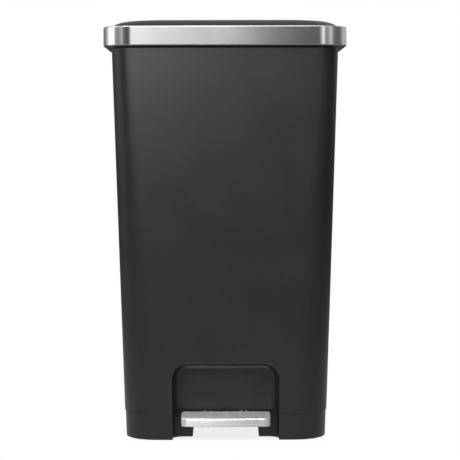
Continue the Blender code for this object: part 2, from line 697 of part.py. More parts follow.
def make_liner():
    rim = LID_WALL + 0.0005
    sheet = 0.002
    loops = [lid_loop(rim, liner_top() - sheet), lid_loop(rim, liner_top() + 0.006),
             lid_loop(rim + sheet, liner_top() + 0.006), lid_loop(rim + sheet, liner_top())]
    liner = lofted("lid_liner", loops, GREY, origin=HINGE)
    cut(liner, block("liner_notch", (ROD_X - 0.024, CRANK_Y - 0.022, LEDGE_TOP),
                     (ROD_X + 0.024, BAND_DEPTH / 2, BAND_TOP)))
    for place, (x, y) in liner_spots().items():
        cut(liner, pin("liner_bore_" + place, Vector((x, y, LEDGE_TOP)), Vector((x, y, BAND_TOP)),
                       SCREW_BORE, sides=SMALL_SIDES))
        seat = Vector((x, y, liner_top() - sheet - TOUCH_GAP))
        screw("liner_screw_" + place, seat, Z_AXIS, 0.008, HINGE)


def make_crank():
    """A steel lug under the lid carries the push rod's upper pin."""
    seat = crank_seat()
    sheet = 0.002
    crank = block("lid_crank", (ROD_X - 0.021, CRANK_Y - 0.019, seat - sheet),
                  (ROD_X + 0.021, CRANK_Y + 0.005, seat), ZINC, origin=HINGE)
    lug = 0.0055
    inner = EYE_THICKNESS / 2 + 0.003
    for side in (-1, 1):
        low, high = sorted((ROD_X + side * inner, ROD_X + side * (inner + EAR_THICKNESS)))
        name = "left" if side < 0 else "right"
        join(crank, block("lug_block_" + name, (low, CRANK_Y - lug + 0.0002, CRANK_Z),
                          (high, CRANK_Y + lug - 0.0002, seat - sheet / 2)))
        join(crank, pin("lug_round_" + name, Vector((low, CRANK_Y, CRANK_Z)), Vector((high, CRANK_Y, CRANK_Z)),
                        2 * lug))
    reach = X_AXIS * (inner + 0.0035)
    cut(crank, pin("lug_bore", CRANK_PIN - reach, CRANK_PIN + reach, PIN_DIAMETER + 2 * RUN_GAP))
    for place, (x, y) in crank_spots().items():
        cut(crank, pin("crank_bore_" + place, Vector((x, y, seat - 0.005)), Vector((x, y, seat + 0.005)),
                       SCREW_BORE, sides=SMALL_SIDES))
        screw("crank_screw_" + place, Vector((x, y, seat - sheet - TOUCH_GAP)), Z_AXIS, 0.008, HINGE)
    pin("crank_pin", CRANK_PIN - reach, CRANK_PIN + reach, PIN_DIAMETER, ZINC, origin=HINGE)


# ---------------------------------------------------------------- push rod and damper
def make_rod():
    foot = Vector((ROD_X, REAR_PIN_Y, REAR_PIN_Z))
    way = (CRANK_PIN - foot).normalized()
    clear = way * (EYE_DIAMETER / 2 - 0.001)
    rod = pin("push_rod", foot + clear, CRANK_PIN - clear, ROD_DIAMETER, ZINC, SMALL_SIDES, origin=CRANK_PIN)
    half = X_AXIS * EYE_THICKNESS / 2
    for name, centre in (("foot", foot), ("top", CRANK_PIN)):
        join(rod, pin("rod_eye_" + name, centre - half, centre + half, EYE_DIAMETER))
        cut(rod, pin("rod_bore_" + name, centre - half * 1.5, centre + half * 1.5,
                     PIN_DIAMETER + 2 * RUN_GAP))
    reach = X_AXIS * 0.009
    pin("rod_foot_pin", foot - reach, foot + reach, PIN_DIAMETER, ZINC, origin=CRANK_PIN)


def make_damper():
    top = DAMPER_FOOT + DAMPER_LENGTH
    axis = Vector((DAMPER_X, REAR_PIN_Y, 0))
    outer = DAMPER_DIAMETER / 2
    bore = outer - 0.0013
    turned("damper_cylinder", axis + Z_AXIS * DAMPER_FOOT, Z_AXIS,
           [(DAMPER_LENGTH - 0.003, bore), (0, bore), (0, outer), (DAMPER_LENGTH, outer)], BLACK)
    piston = outer - 0.0013 - RUN_GAP
    stem = 0.0025
    turned("damper_gland", axis + Z_AXIS * (DAMPER_FOOT + 0.0005), Z_AXIS,
           [(0, stem + RUN_GAP), (0, piston), (0.005, piston), (0.005, stem + RUN_GAP)], NYLON, ring=True)
    foot = Vector((DAMPER_X, REAR_PIN_Y, REAR_PIN_Z))
    head = DAMPER_FOOT + 0.0075
    rod = turned("damper_rod", foot, Z_AXIS,
                 [(EYE_DIAMETER / 2 - 0.001, stem), (head - REAR_PIN_Z, stem), (head - REAR_PIN_Z, piston),
                  (head - REAR_PIN_Z + 0.006, piston)], ZINC, SMALL_SIDES, origin=foot)
    half = X_AXIS * EYE_THICKNESS / 2
    join(rod, pin("damper_eye", foot - half, foot + half, EYE_DIAMETER))
    cut(rod, pin("damper_eye_bore", foot - half * 1.5, foot + half * 1.5, PIN_DIAMETER + 2 * SLOT_GAP))


# ---------------------------------------------------------------- lever and pedal
def make_lever():
    """A steel pressing. Its points are (x, along the arm, above the arm), about the pivot."""
    half = LEVER_WIDTH / 2
    ear = EAR_THICKNESS
    plate_top = -LEVER_DROP
    plate_foot = plate_top - LEVER_PLATE
    nose = PEDAL_FRONT - PIVOT_Y + 0.008
    tail = LEVER_ARM + LEVER_TAIL
    lever = block("pedal_lever", (-half, nose, plate_foot), (half, tail, plate_top), ZINC, PIVOT,
                  -LEVER_REST)
    buried = plate_foot + LEVER_PLATE / 2
    slip = PIN_DIAMETER / 2 + SLOT_GAP
    ears = [("pivot_left", -half, -0.008, 0.008, 0.0075),
            ("pivot_right", half - ear, -0.008, 0.008, 0.0075)]
    inner = EYE_THICKNESS / 2 + 0.003
    back = LEVER_ARM - ROD_SWING - slip - 0.004
    for place, x, low in (("rod", ROD_X, back), ("damper", DAMPER_X, LEVER_ARM - EAR_REACH)):
        ears.append((place + "_left", x - inner - ear, low, tail - 0.0001, EAR_REACH))
        ears.append((place + "_right", x + inner, low, tail - 0.0001, EAR_REACH))
    for name, x, low, high, top in ears:
        piece = block("ear_" + name, (x + 0.00005, low, buried), (x + ear - 0.00005, high, top),
                      origin=PIVOT, tilt=-LEVER_REST)
        join(lever, piece)
    reach = X_AXIS * (half + 0.001)
    bore = AXLE_DIAMETER + 2 * RUN_GAP
    cut(lever, pin("axle_bore", -reach, reach, bore, origin=PIVOT, tilt=-LEVER_REST))
    damper_eye = Vector((DAMPER_X, LEVER_ARM, 0))
    reach = X_AXIS * (inner + ear + 0.001)
    cut(lever, pin("damper_pin_bore", damper_eye - reach, damper_eye + reach, PIN_DIAMETER + 2 * RUN_GAP,
                   origin=PIVOT, tilt=-LEVER_REST))
    cut(lever, slot_tool("rod_pin_slot", ROD_X, reach.x, LEVER_ARM - ROD_SWING - 0.0006, LEVER_ARM, slip))
    for side in (-1, 1):
        x = side * PEDAL_SCREW_X
        y = PEDAL_SCREW_Y - PIVOT_Y
        cut(lever, pin("lever_bore_%d" % (side + 1), Vector((x, y, -0.03)), Vector((x, y, 0.03)), 0.005,
                       sides=SMALL_SIDES, origin=PIVOT, tilt=-LEVER_REST))
    pin("damper_pin", damper_eye - reach, damper_eye + reach, PIN_DIAMETER, ZINC, origin=PIVOT,
        tilt=-LEVER_REST)


def slot_tool(name, x, half_length, low, high, radius):
    """A slot with round ends, cut through along x."""
    loops = []
    for side in (-1, 1):
        loop = []
        for centre, start in ((high, -90), (low, 90)):
            for step in range(CORNER_STEPS * 2 + 1):
                angle = math.radians(start + 180 * step / (CORNER_STEPS * 2))
                loop.append((x + side * half_length, centre + radius * math.cos(angle),
                             radius * math.sin(angle)))
        loops.append(loop)
    return lofted(name, loops, origin=PIVOT, tilt=-LEVER_REST)


PEDAL_SCREW_X = 0.014
PEDAL_SCREW_Y = PEDAL_FRONT + 0.024


def make_axle():
    reach = CHEEK_INNER + CHEEK_THICKNESS + 0.005
    pin("lever_axle", PIVOT - X_AXIS * reach, PIVOT + X_AXIS * reach, AXLE_DIAMETER, ZINC)
    bore = AXLE_DIAMETER / 2 + RUN_GAP
    for side, name in ((-1, "left"), (1, "right")):
        start = PIVOT + X_AXIS * side * (CHEEK_INNER - TOUCH_GAP - 0.0012)
        way = X_AXIS * side
        collar = BUSH_DIAMETER / 2 + 0.002
        bush = BUSH_DIAMETER / 2
        length = CHEEK_THICKNESS + 0.0015 + TOUCH_GAP
        turned("axle_bush_" + name, start, way,
               [(0, collar), (0.0012, collar), (0.0012, bush), (length, bush), (length, bore), (0, bore)],
               NYLON, ring=True)
        clip = PIVOT + way * (CHEEK_INNER + CHEEK_THICKNESS + 0.0012)
        turned("axle_clip_" + name, clip, way,
               [(0, 0.0058), (0.001, 0.0058), (0.001, bore), (0, bore)], ZINC, ring=True)


def pedal_loop(inset, lift):
    """The pedal's outline drawn in by an inset, its front bowed. Lift gives a point's height from its y."""
    half_x = PEDAL_WIDTH / 2 - inset
    front = PEDAL_FRONT + inset
    back = PEDAL_BACK - inset
    middle = (PEDAL_FRONT + PEDAL_BACK) / 2
    loop = []
    for way, edge, corner, start in ((1, back, PEDAL_REAR_CORNER, 0), (-1, back, PEDAL_REAR_CORNER, 90),
                                     (-1, front, PEDAL_CORNER, 180), (1, front, PEDAL_CORNER, 270)):
        radius = max(corner - inset, 0.0015)
        x = way * (half_x - radius)
        y = edge + (radius if edge == front else -radius)
        for step in range(CORNER_STEPS + 1):
            angle = math.radians(start + 90 * step / CORNER_STEPS)
            loop.append((x + radius * math.cos(angle), y + radius * math.sin(angle)))
        if start == 180:
            loop += [(x + 2 * (half_x - radius) * step / FRONT_STEPS, front) for step in range(1, FRONT_STEPS)]
    made = []
    for x, y in loop:
        share = max(0.0, (middle - y) / (middle - PEDAL_FRONT))
        y += PEDAL_BOW * share * (2 * x / PEDAL_WIDTH) ** 2
        made.append((x, y, lift(y)))
    return made


def pedal_top(drop):
    """Heights on the pedal's sloping top, lowered by a drop."""
    return lambda y: PEDAL_FRONT_HEIGHT + (y - PEDAL_FRONT) * math.tan(PEDAL_SLOPE) - drop


def pedal_level(z):
    return lambda y: z


def make_pedal():
    sheet = PEDAL_SHEET
    lip = PEDAL_FRONT_HEIGHT - PEDAL_LIP
    roll = PEDAL_ROLL
    loops = [pedal_loop(roll + sheet, pedal_top(sheet)), pedal_loop(sheet, pedal_top(roll + sheet / 2)),
             pedal_loop(sheet, pedal_level(lip)), pedal_loop(0.0, pedal_level(lip)),
             pedal_loop(0.0, pedal_top(roll)), pedal_loop(roll, pedal_top(0.0))]
    cover = lofted("pedal_cover", loops, BRUSHED, origin=PIVOT)
    gate = LEVER_WIDTH / 2 + 2 * COVER_GAP
    cut(cover, block("pedal_gate", (-gate, PEDAL_BACK - 0.003, lip - 0.01),
                     (gate, PEDAL_BACK + 0.01, PIVOT_HEIGHT)))
    inner = sheet + TOUCH_GAP
    core = lofted("pedal_core", [
        pedal_loop(inner, pedal_level(lip + 0.001)), pedal_loop(inner, pedal_top(roll + sheet)),
        pedal_loop(inner + roll, pedal_top(inner))], BLACK, origin=PIVOT)
    slot_half = LEVER_WIDTH / 2 + COVER_GAP
    low = -LEVER_DROP - LEVER_PLATE - TOUCH_GAP
    high = -LEVER_DROP + TOUCH_GAP
    nose = PEDAL_FRONT - PIVOT_Y + 0.008 - COVER_GAP
    cut(core, block("lever_slot", (-slot_half, nose, low), (slot_half, nose + BEYOND * 2, high),
                    origin=PIVOT, tilt=-LEVER_REST))
    for side, name in ((-1, "left"), (1, "right")):
        x = side * PEDAL_SCREW_X
        head = lip + 0.0032
        cut(core, pin("core_bore_" + name, Vector((x, PEDAL_SCREW_Y, lip - 0.002)),
                      Vector((x, PEDAL_SCREW_Y, head + 0.0115)), SCREW_BORE, sides=SMALL_SIDES))
        cut(core, pin("core_counterbore_" + name, Vector((x, PEDAL_SCREW_Y, lip - 0.002)),
                      Vector((x, PEDAL_SCREW_Y, head)), SCREW_HEAD + 2 * RUN_GAP, sides=SMALL_SIDES))
        screw("pedal_screw_" + name, Vector((x, PEDAL_SCREW_Y, head - TOUCH_GAP)), Z_AXIS, 0.0105, PIVOT)


# ---------------------------------------------------------------- small pieces at the mouth
def make_mouth_parts():
    top = LID_FOOT - TOUCH_GAP
    foot = LEDGE_TOP + TOUCH_GAP
    x = BAND_WIDTH / 2 - 0.110
    y = BAND_DEPTH / 2 - LID_INSET - LID_WALL / 2
    for side, name in ((-1, "left"), (1, "right")):
        turned("lid_bumper_" + name, Vector((side * x, 0.0035 - y, foot)), Z_AXIS,
               [(0, 0.0042), (top - foot - 0.0003, 0.0042), (top - foot, 0.0036)], RUBBER)
    flange = 0.006
    down = 0.024
    sheet = 0.002
    gap = COVER_GAP
    loops = [mouth_loop(-gap, foot - down), mouth_loop(-gap, foot), mouth_loop(flange, foot),
             mouth_loop(flange, foot + sheet), mouth_loop(-gap - sheet, foot + sheet),
             mouth_loop(-gap - sheet, foot - down)]
    lofted("bag_ring", loops, GREY, ring=True)


def main():
    make_body()
    make_base()
    make_feet_and_base_screws()
    make_rear_cover()
    make_rim()
    make_lid()
    make_liner()
    make_crank()
    make_rod()
    make_damper()
    make_lever()
    make_axle()
    make_pedal()
    make_mouth_parts()


clear_scene()
main()
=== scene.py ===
"""Looks of the pedal trash can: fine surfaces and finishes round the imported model.

Units are metres, +Z is up and the front faces -Y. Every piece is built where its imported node
stands, rides on the same body, and takes its finish from the named slot.
"""
import json
import math

import bpy
from mathutils import Matrix, Vector


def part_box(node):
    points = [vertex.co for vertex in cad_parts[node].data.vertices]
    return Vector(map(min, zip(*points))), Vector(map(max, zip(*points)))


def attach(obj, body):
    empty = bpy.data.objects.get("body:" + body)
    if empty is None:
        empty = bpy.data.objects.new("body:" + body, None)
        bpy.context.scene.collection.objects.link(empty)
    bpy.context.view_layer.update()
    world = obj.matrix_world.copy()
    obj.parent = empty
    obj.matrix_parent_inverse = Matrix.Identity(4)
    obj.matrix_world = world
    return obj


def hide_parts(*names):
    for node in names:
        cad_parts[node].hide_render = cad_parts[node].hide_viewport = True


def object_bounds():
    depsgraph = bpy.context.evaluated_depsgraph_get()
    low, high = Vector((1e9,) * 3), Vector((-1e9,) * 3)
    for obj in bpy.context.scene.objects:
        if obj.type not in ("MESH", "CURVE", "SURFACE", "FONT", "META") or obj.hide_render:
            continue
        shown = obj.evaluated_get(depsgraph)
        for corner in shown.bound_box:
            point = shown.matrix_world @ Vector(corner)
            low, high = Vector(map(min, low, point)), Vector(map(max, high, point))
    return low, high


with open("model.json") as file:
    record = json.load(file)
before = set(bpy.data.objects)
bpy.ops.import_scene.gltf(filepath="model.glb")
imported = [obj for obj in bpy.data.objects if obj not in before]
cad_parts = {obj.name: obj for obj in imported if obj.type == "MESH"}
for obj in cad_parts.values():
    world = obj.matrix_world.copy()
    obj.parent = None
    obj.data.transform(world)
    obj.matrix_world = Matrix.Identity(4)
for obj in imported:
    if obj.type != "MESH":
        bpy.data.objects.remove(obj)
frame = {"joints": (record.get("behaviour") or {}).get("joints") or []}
cad_low, cad_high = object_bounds()
JOINTS = {joint["name"]: joint for joint in frame["joints"]}


def span(node, axis):
    """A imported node's lowest and highest value on one axis."""
    low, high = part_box(node)
    return low[axis], high[axis]


def middle(node):
    low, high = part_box(node)
    return (low + high) / 2


# ---------------------------------------------------------------- sizes
X_AXIS = Vector((1, 0, 0))
Y_AXIS = Vector((0, 1, 0))
Z_AXIS = Vector((0, 0, 1))

BAND_BOTTOM, BAND_TOP = span("rim_band", 2)
BAND_WIDTH = 2 * span("rim_band", 0)[1]
BAND_DEPTH = 2 * span("rim_band", 1)[1]
BAND_CORNER = 0.052
FRONT_BOW = 0.003
BAND_STEEL = 0.0008
BAND_EDGE = 0.0026
BAND_TURN_IN = 0.0125
OVERHANG = 0.014
DRAFT = math.tan(math.radians(1.63))
WALL = 0.003
BODY_FOOT = 0.0478
BODY_TOP = span("body_shell", 2)[1]
BODY_WIDTH = BAND_WIDTH - 2 * OVERHANG
BODY_DEPTH = BAND_DEPTH - 2 * OVERHANG
BODY_TOP_CORNER = BAND_CORNER - OVERHANG
BODY_FOOT_CORNER = 0.056
BIN_FLOOR = 0.080
BIN_UNDER = 0.077

BASE_TOP = 0.0475
BASE_LIFT = 0.0015
BASE_STEP = 0.0012
FLANGE_FOOT = 0.0045
FLANGE_TOP = 0.0075
FLANGE_WIDTH = 0.028

LEDGE_TOP = BAND_TOP - 0.019
LEDGE_FOOT = LEDGE_TOP - 0.0025
LEDGE_INSET = 0.030
CAVITY_REAR = BAND_DEPTH / 2 - 0.046
COLLAR_SKIN = 0.0011
COLLAR_WALL = 0.0022

RECESS_WIDTH = 0.185
RECESS_HEIGHT = 0.135
RECESS_CORNER = 0.028
RECESS_BACK = -0.1143
RECESS_COVE = 0.020
MOUTH_ROUND = 0.0024
PORT_HALF = 0.059
PORT_TOP = BASE_TOP + 0.0005

CHANNEL_HALF = 0.035
CHANNEL_DEPTH = 0.026
COVER_FOOT, COVER_TOP = span("rear_cover", 2)
COVER_SHEET = 0.0025

LID_INSET = 0.0143
LID_WALL = 0.0025
LID_FOOT = LEDGE_TOP + 0.002
LID_RISE = cad_high.z - BAND_TOP
LID_SHOULDER = 0.014
DOME_REACH = 0.055
HINGE = Vector(JOINTS["lid_hinge"]["pos_m"])
HINGE_SPAN = 0.120
KNUCKLE = 0.006
KNUCKLE_HALF = 0.0147
POST_LENGTH = 0.010
PIN_DIAMETER = 0.005
CRANK_PIN = Vector(JOINTS["rod_swivel"]["pos_m"])
PIVOT = Vector(JOINTS["pedal_hinge"]["pos_m"])
ROD_X = CRANK_PIN.x
DAMPER = middle("damper_cylinder")
REAR_PIN = Vector((0, DAMPER.y, middle("rod_foot_pin").z))
EYE_DIAMETER = 0.011
EYE_THICKNESS = 0.005
AXLE_DIAMETER = 0.006
SCREW_HEAD = 0.007
SCREW_SHANK = 0.003
SCREW_BORE = 0.0036
PIN_BORE = PIN_DIAMETER + 0.0006
BOSS_DROP = 0.006

LEVER_HALF = 0.026
LEVER_ARM = math.hypot(REAR_PIN.y - PIVOT.y, PIVOT.z - REAR_PIN.z)
LEVER_REST = math.asin((PIVOT.z - REAR_PIN.z) / LEVER_ARM)
LEVER_PLATE = 0.003
LEVER_DROP = 0.010
PEDAL_WIDTH = 2 * span("pedal_cover", 0)[1]
PEDAL_FRONT, PEDAL_BACK = span("pedal_cover", 1)
PEDAL_LIP_FOOT = span("pedal_cover", 2)[0]
PEDAL_FRONT_HEIGHT = 0.043
PEDAL_SLOPE = math.tan(math.radians(8.5))
PEDAL_SHEET = 0.001
PEDAL_BOW = 0.0025

TOUCH_GAP = 0.0003
CORNER_STEPS = 14
FRONT_STEPS = 18
ROUND_SIDES = 40
SIDES = (("left", -1), ("right", 1))
CORNERS = ("front_left", "front_right", "rear_left", "rear_right")


MOULDED = bpy.data.collections.new("moulded_pieces")
PEDAL_STEEL = bpy.data.collections.new("pedal_steel")


# ---------------------------------------------------------------- mesh tools
def mesh_object(name, points, faces):
    mesh = bpy.data.meshes.new(name)
    mesh.from_pydata([tuple(point) for point in points], [], faces)
    thing = bpy.data.objects.new(name, mesh)
    bpy.context.scene.collection.objects.link(thing)
    return thing


def lofted(name, loops, ring=False):
    """Bridge loops of equal length. A ring joins the last to the first, or else both ends are capped."""
    count = len(loops[0])
    points = [point for loop in loops for point in loop]
    faces = []
    for stage in range(len(loops) if ring else len(loops) - 1):
        low = stage * count
        high = ((stage + 1) % len(loops)) * count
        for i in range(count):
            j = (i + 1) % count
            faces.append((low + i, low + j, high + j, high + i))
    if not ring:
        faces.append(tuple(reversed(range(count))))
        faces.append(tuple(range((len(loops) - 1) * count, len(loops) * count)))
    return mesh_object(name, points, faces)


def circle(centre, direction, radius, sides):
    """A circle of points, anticlockwise about its direction."""
    side = direction.cross(Z_AXIS)
    if side.length < 0.1:
        side = X_AXIS.copy()
    side.normalize()
    up = direction.cross(side)
    turns = [2 * math.pi * i / sides for i in range(sides)]
    return [centre + radius * (math.cos(turn) * side + math.sin(turn) * up) for turn in turns]


def turned(name, start, direction, profile, sides=ROUND_SIDES, ring=False):
    """Turn a profile of (distance along the axis, radius) steps about an axis."""
    direction = direction.normalized()
    return lofted(name, [circle(start + direction * along, direction, radius, sides) for along,
            radius in profile], ring)


def softened(profile, radius, steps=3):
    """Round the corners of an open profile of (along, radius) steps."""
    made = [profile[0]]
    for before, here, after in zip(profile, profile[1:], profile[2:]):
        here = Vector(here)
        back = Vector(before) - here
        on = Vector(after) - here
        reach = min(radius, back.length * 0.45, on.length * 0.45)
        start = here + back.normalized() * reach
        end = here + on.normalized() * reach
        for step in range(steps + 1):
            t = step / steps
            made.append(tuple(start * (1 - t) ** 2 + here * 2 * t * (1 - t) + end * t ** 2))
    made.append(profile[-1])
    return made


def bar(name, start, end, diameter, round_off=0.0004, sides=ROUND_SIDES):
    """A round bar with eased ends."""
    length = (end - start).length
    radius = diameter / 2
    profile = [(0, radius * 0.3), (0, radius), (length, radius), (length, radius * 0.3)]
    if round_off:
        profile = softened(profile, min(round_off, radius * 0.4))
    return turned(name, start, end - start, profile, sides)


def above(spot, height):
    """The point over a spot at a height."""
    return Vector((spot.x, spot.y, height))


def drill(start, end, diameter):
    """A plain round cutter."""
    return bar("bore", start, end, diameter, 0.0)


def block(name, low, high):
    """A box between two corners."""
    return lofted(name, [[(low[0], low[1], z), (high[0], low[1], z), (high[0], high[1], z), (low[0],
            high[1], z)] for z in (low[2], high[2])])


def shape(target, operation, *tools):
    """Cut, join or intersect with tools, and keep the finished mesh."""
    for tool in tools:
        modifier = target.modifiers.new("shape", "BOOLEAN")
        modifier.operation = operation
        modifier.solver = "EXACT"
        modifier.object = tool
    bpy.context.view_layer.update()
    made = bpy.data.meshes.new_from_object(target.evaluated_get(bpy.context.evaluated_depsgraph_get()))
    target.modifiers.clear()
    target.data = made
    for tool in tools:
        bpy.data.objects.remove(tool)
    return target


def cut(target, *tools):
    return shape(target, "DIFFERENCE", *tools)


def join(target, *tools):
    return shape(target, "UNION", *tools)


def tilted(thing):
    """Turn a piece drawn about the pivot to the lever's rest angle, and bring it to the pivot."""
    thing.data.transform(Matrix.Translation(PIVOT) @ Matrix.Rotation(-LEVER_REST, 4, "X"))
    return thing


def finished(thing, name, nodes, body, slot, bevel=0.0, sharp=32.0, finish=None):
    """Shade and name one piece, ease its edges if asked, set it on its body and hide the imported nodes it
    replaces.
    """
    thing.name = name
    thing.data.name = name
    thing.data.materials.clear()
    thing.data.materials.append(finish or FINISHES[slot])
    if slot.endswith(("plastic", "rubber", "nylon")):
        MOULDED.objects.link(thing)
    thing.data.shade_smooth()
    thing.data.set_sharp_from_angle(angle=math.radians(sharp))
    if bevel:
        modifier = thing.modifiers.new("eased_edges", "BEVEL")
        modifier.width = bevel
        modifier.segments = 2
        modifier.limit_method = "ANGLE"
        modifier.angle_limit = math.radians(sharp)
        modifier.use_clamp_overlap = True
    weigh = thing.modifiers.new("even_shading", "WEIGHTED_NORMAL")
    weigh.keep_sharp = True
    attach(thing, body)
    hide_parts(*nodes)
    return thing


# ---------------------------------------------------------------- outlines
def taper(z):
    return (BAND_BOTTOM - z) * DRAFT


def rear_face(z):
    return BODY_DEPTH / 2 - taper(z)


def front_face(x, z, inset=0.0):
    """The y of the bowed, slanting front face, drawn in by an inset."""
    half_x = BODY_WIDTH / 2 - taper(z) - inset
    return -(rear_face(z) - inset) + FRONT_BOW * min(1.0, (x / half_x) ** 2)


def outline(width, depth, corner, z, shift=0.0, steps=CORNER_STEPS):
    """A rounded rectangle with a bowed front, anticlockwise from above."""
    half_x = width / 2
    half_y = depth / 2
    front = half_y - FRONT_BOW
    corner = max(corner, 0.002)
    centres = ((half_x - corner, half_y - corner), (corner - half_x, half_y - corner), (corner - half_x,
            corner - front), (half_x - corner, corner - front))
    points = []
    for quarter, (x, y) in enumerate(centres):
        for step in range(steps + 1):
            angle = math.pi / 2 * (quarter + step / steps)
            points.append((x + corner * math.cos(angle), y + corner * math.sin(angle)))
        if quarter == 2:
            run = centres[3][0] - centres[2][0]
            points += [(centres[2][0] + run * step / FRONT_STEPS, -front) for step in range(1, FRONT_STEPS)]
    made = []
    for x, y in points:
        swell = FRONT_BOW / front * (1 - (x / half_x) ** 2)
        made.append((x, y * (1 + swell) + shift if y < 0 else y + shift, z))
    return made


def rim_loop(inset, z):
    return outline(BAND_WIDTH - 2 * inset, BAND_DEPTH - 2 * inset, BAND_CORNER - inset, z)


def mouth_loop(grow, z):
    """The mouth inside the ledge, which stops short of the rear channel."""
    width = BAND_WIDTH - 2 * (LEDGE_INSET - grow)
    front = BAND_DEPTH / 2 - LEDGE_INSET + grow
    rear = CAVITY_REAR + grow
    return outline(width, front + rear, BAND_CORNER - LEDGE_INSET + grow, z, shift=(rear - front) / 2)


def body_loop(z, inset=0.0):
    drawn = 2 * (taper(z) + inset)
    part = (BAND_BOTTOM - z) / (BAND_BOTTOM - BODY_FOOT)
    corner = BODY_TOP_CORNER + (BODY_FOOT_CORNER - BODY_TOP_CORNER) * part
    return outline(BODY_WIDTH - drawn, BODY_DEPTH - drawn, corner - inset, z)


def base_loop(z, inset=0.0):
    return body_loop(z, inset + BASE_STEP)


def dome_height(inset):
    full = 1 - math.exp(-DOME_REACH / LID_SHOULDER)
    return BAND_TOP + LID_RISE * (1 - math.exp(-inset / LID_SHOULDER)) / full


def lid_loop(inset, z):
    drawn = 2 * (LID_INSET + inset)
    return outline(BAND_WIDTH - drawn, BAND_DEPTH - drawn, BAND_CORNER - LID_INSET + 0.4 * inset, z)


def arch(half, top, corner, low):
    """The recess's outline as (x, z) pairs, from its lower left round to its upper left."""
    points = [(-half, low), (half, low)]
    for centre, start in ((half - corner, 0), (corner - half, 90)):
        for step in range(CORNER_STEPS + 1):
            angle = math.radians(start + 90 * step / CORNER_STEPS)
            points.append((centre + corner * math.cos(angle), top - corner + corner * math.sin(angle)))
    return points[::-1]


def recess_space(name, face_inset=0.0, low=-0.05):
    """The foot recess with a rounded mouth, as a solid to cut away."""
    loops = []
    steps = 6
    start = 0.2
    mouth = [(MOUTH_ROUND * (1 - math.sin(start)) + 0.02 * math.cos(start),
            MOUTH_ROUND * (1 - math.cos(start)) - 0.02 * math.sin(start))]
    for step in range(steps + 1):
        turn = start + (math.pi / 2 - start) * step / steps
        mouth.append((MOUTH_ROUND * (1 - math.sin(turn)), MOUTH_ROUND * (1 - math.cos(turn))))
    for grow, depth in mouth:
        points = arch(RECESS_WIDTH / 2 + grow, RECESS_HEIGHT + grow, RECESS_CORNER + grow, low)
        loops.append([(x, front_face(x, max(z, 0), face_inset) + depth, z) for x, z in points])
    cove = 10
    for step in range(cove + 1):
        turn = math.pi / 2 * step / cove
        y = RECESS_BACK - RECESS_COVE + RECESS_COVE * math.sin(turn)
        drawn = RECESS_COVE * (1 - math.cos(turn))
        corner = max(RECESS_CORNER - drawn, 0.006)
        loops.append([(x, y, z) for x, z in arch(RECESS_WIDTH / 2 - drawn, RECESS_HEIGHT - drawn, corner,
                low)])
    return lofted(name, loops)


def recess_walls(name, low, high):
    """The walls round the recess, as a solid grown by the wall's thickness."""
    loops = []
    reach = RECESS_COVE + WALL
    stations = [(-BAND_DEPTH / 2 - 0.05, 0.0)]
    for step in range(9):
        turn = math.pi / 2 * step / 8
        stations.append((RECESS_BACK + WALL - reach + reach * math.sin(turn), reach * (1 - math.cos(turn))))
    for y, drawn in stations:
        top = min(RECESS_HEIGHT + WALL - drawn, high)
        points = arch(RECESS_WIDTH / 2 + WALL - drawn, top, max(RECESS_CORNER + WALL - drawn, 0.006), low)
        loops.append([(x, y, z) for x, z in points])
    return lofted(name, loops)


def slanted_block(name, half_width, deep, shallow, low, high, rows=1):
    """A block parallel to the slanting rear face, between two depths in from that face."""
    loops = []
    for row in range(rows + 1):
        z = low + (high - low) * row / rows
        inner = rear_face(z) - deep
        outer = rear_face(z) - shallow
        loops.append([(-half_width, inner, z), (half_width, inner, z), (half_width, outer, z), (-half_width,
                outer, z)])
    return lofted(name, loops)


# ---------------------------------------------------------------- shared effects
def new_group(name, inputs, outputs):
    """A shader node group with named inputs and outputs."""
    group = bpy.data.node_groups.new(name, "ShaderNodeTree")
    for socket, kind, value in inputs:
        made = group.interface.new_socket(socket, in_out="INPUT", socket_type="NodeSocket" + kind)
        if value is not None:
            made.default_value = value
    for socket, kind in outputs:
        group.interface.new_socket(socket, in_out="OUTPUT", socket_type="NodeSocket" + kind)
    source = group.nodes.new("NodeGroupInput")
    sink = group.nodes.new("NodeGroupOutput")
    return group, source.outputs, sink.inputs


def node(tree, kind, links=(), **values):
    """Add a node, set its plain values and feed its sockets."""
    made = tree.nodes.new("ShaderNode" + kind)
    for key, value in values.items():
        setattr(made, key, value)
    for socket, feed in dict(links).items():
        if hasattr(feed, "is_output"):
            tree.links.new(feed, made.inputs[socket])
        else:
            made.inputs[socket].default_value = feed
    return made


def maths(tree, operation, first, second=0.0, third=0.0, clamp=False):
    made = node(tree, "Math", {0: first, 1: second, 2: third}, operation=operation, use_clamp=clamp)
    return made.outputs[0]


def scaled(tree, vector, scale):
    return node(tree, "VectorMath", {0: vector, 1: scale}, operation="MULTIPLY").outputs[0]


def noise(tree, vector, scale, detail=2.0, roughness=0.5):
    made = node(tree, "TexNoise", {"Vector": vector, "Scale": scale, "Detail": detail,
            "Roughness": roughness})
    return made.outputs[0]


def spread(tree, value, low, high, to_low=0.0, to_high=1.0):
    made = node(tree, "MapRange", {"Value": value, "From Min": low, "From Max": high, "To Min": to_low,
            "To Max": to_high})
    return made.outputs[0]


def grain_group():
    """Fine moulded texture: a height for bump and a mottle mask."""
    group, source, sink = new_group("moulded_grain", [("Vector", "Vector", None), ("Scale", "Float",
            1400.0)], [("Height", "Float"), ("Mottle", "Float")])
    fine = noise(group, source[0], source[1], 2.0, 0.6)
    half = maths(group, "MULTIPLY", source[1], 0.37)
    cells = node(group, "TexVoronoi", {"Vector": source[0], "Scale": half}, feature="SMOOTH_F1")
    height = maths(group, "MULTIPLY_ADD", cells.outputs[0], 0.6, fine)
    group.links.new(height, sink[0])
    mottle = noise(group, source[0], 14.0, 4.0, 0.55)
    group.links.new(spread(group, mottle, 0.3, 0.7), sink[1])
    return group


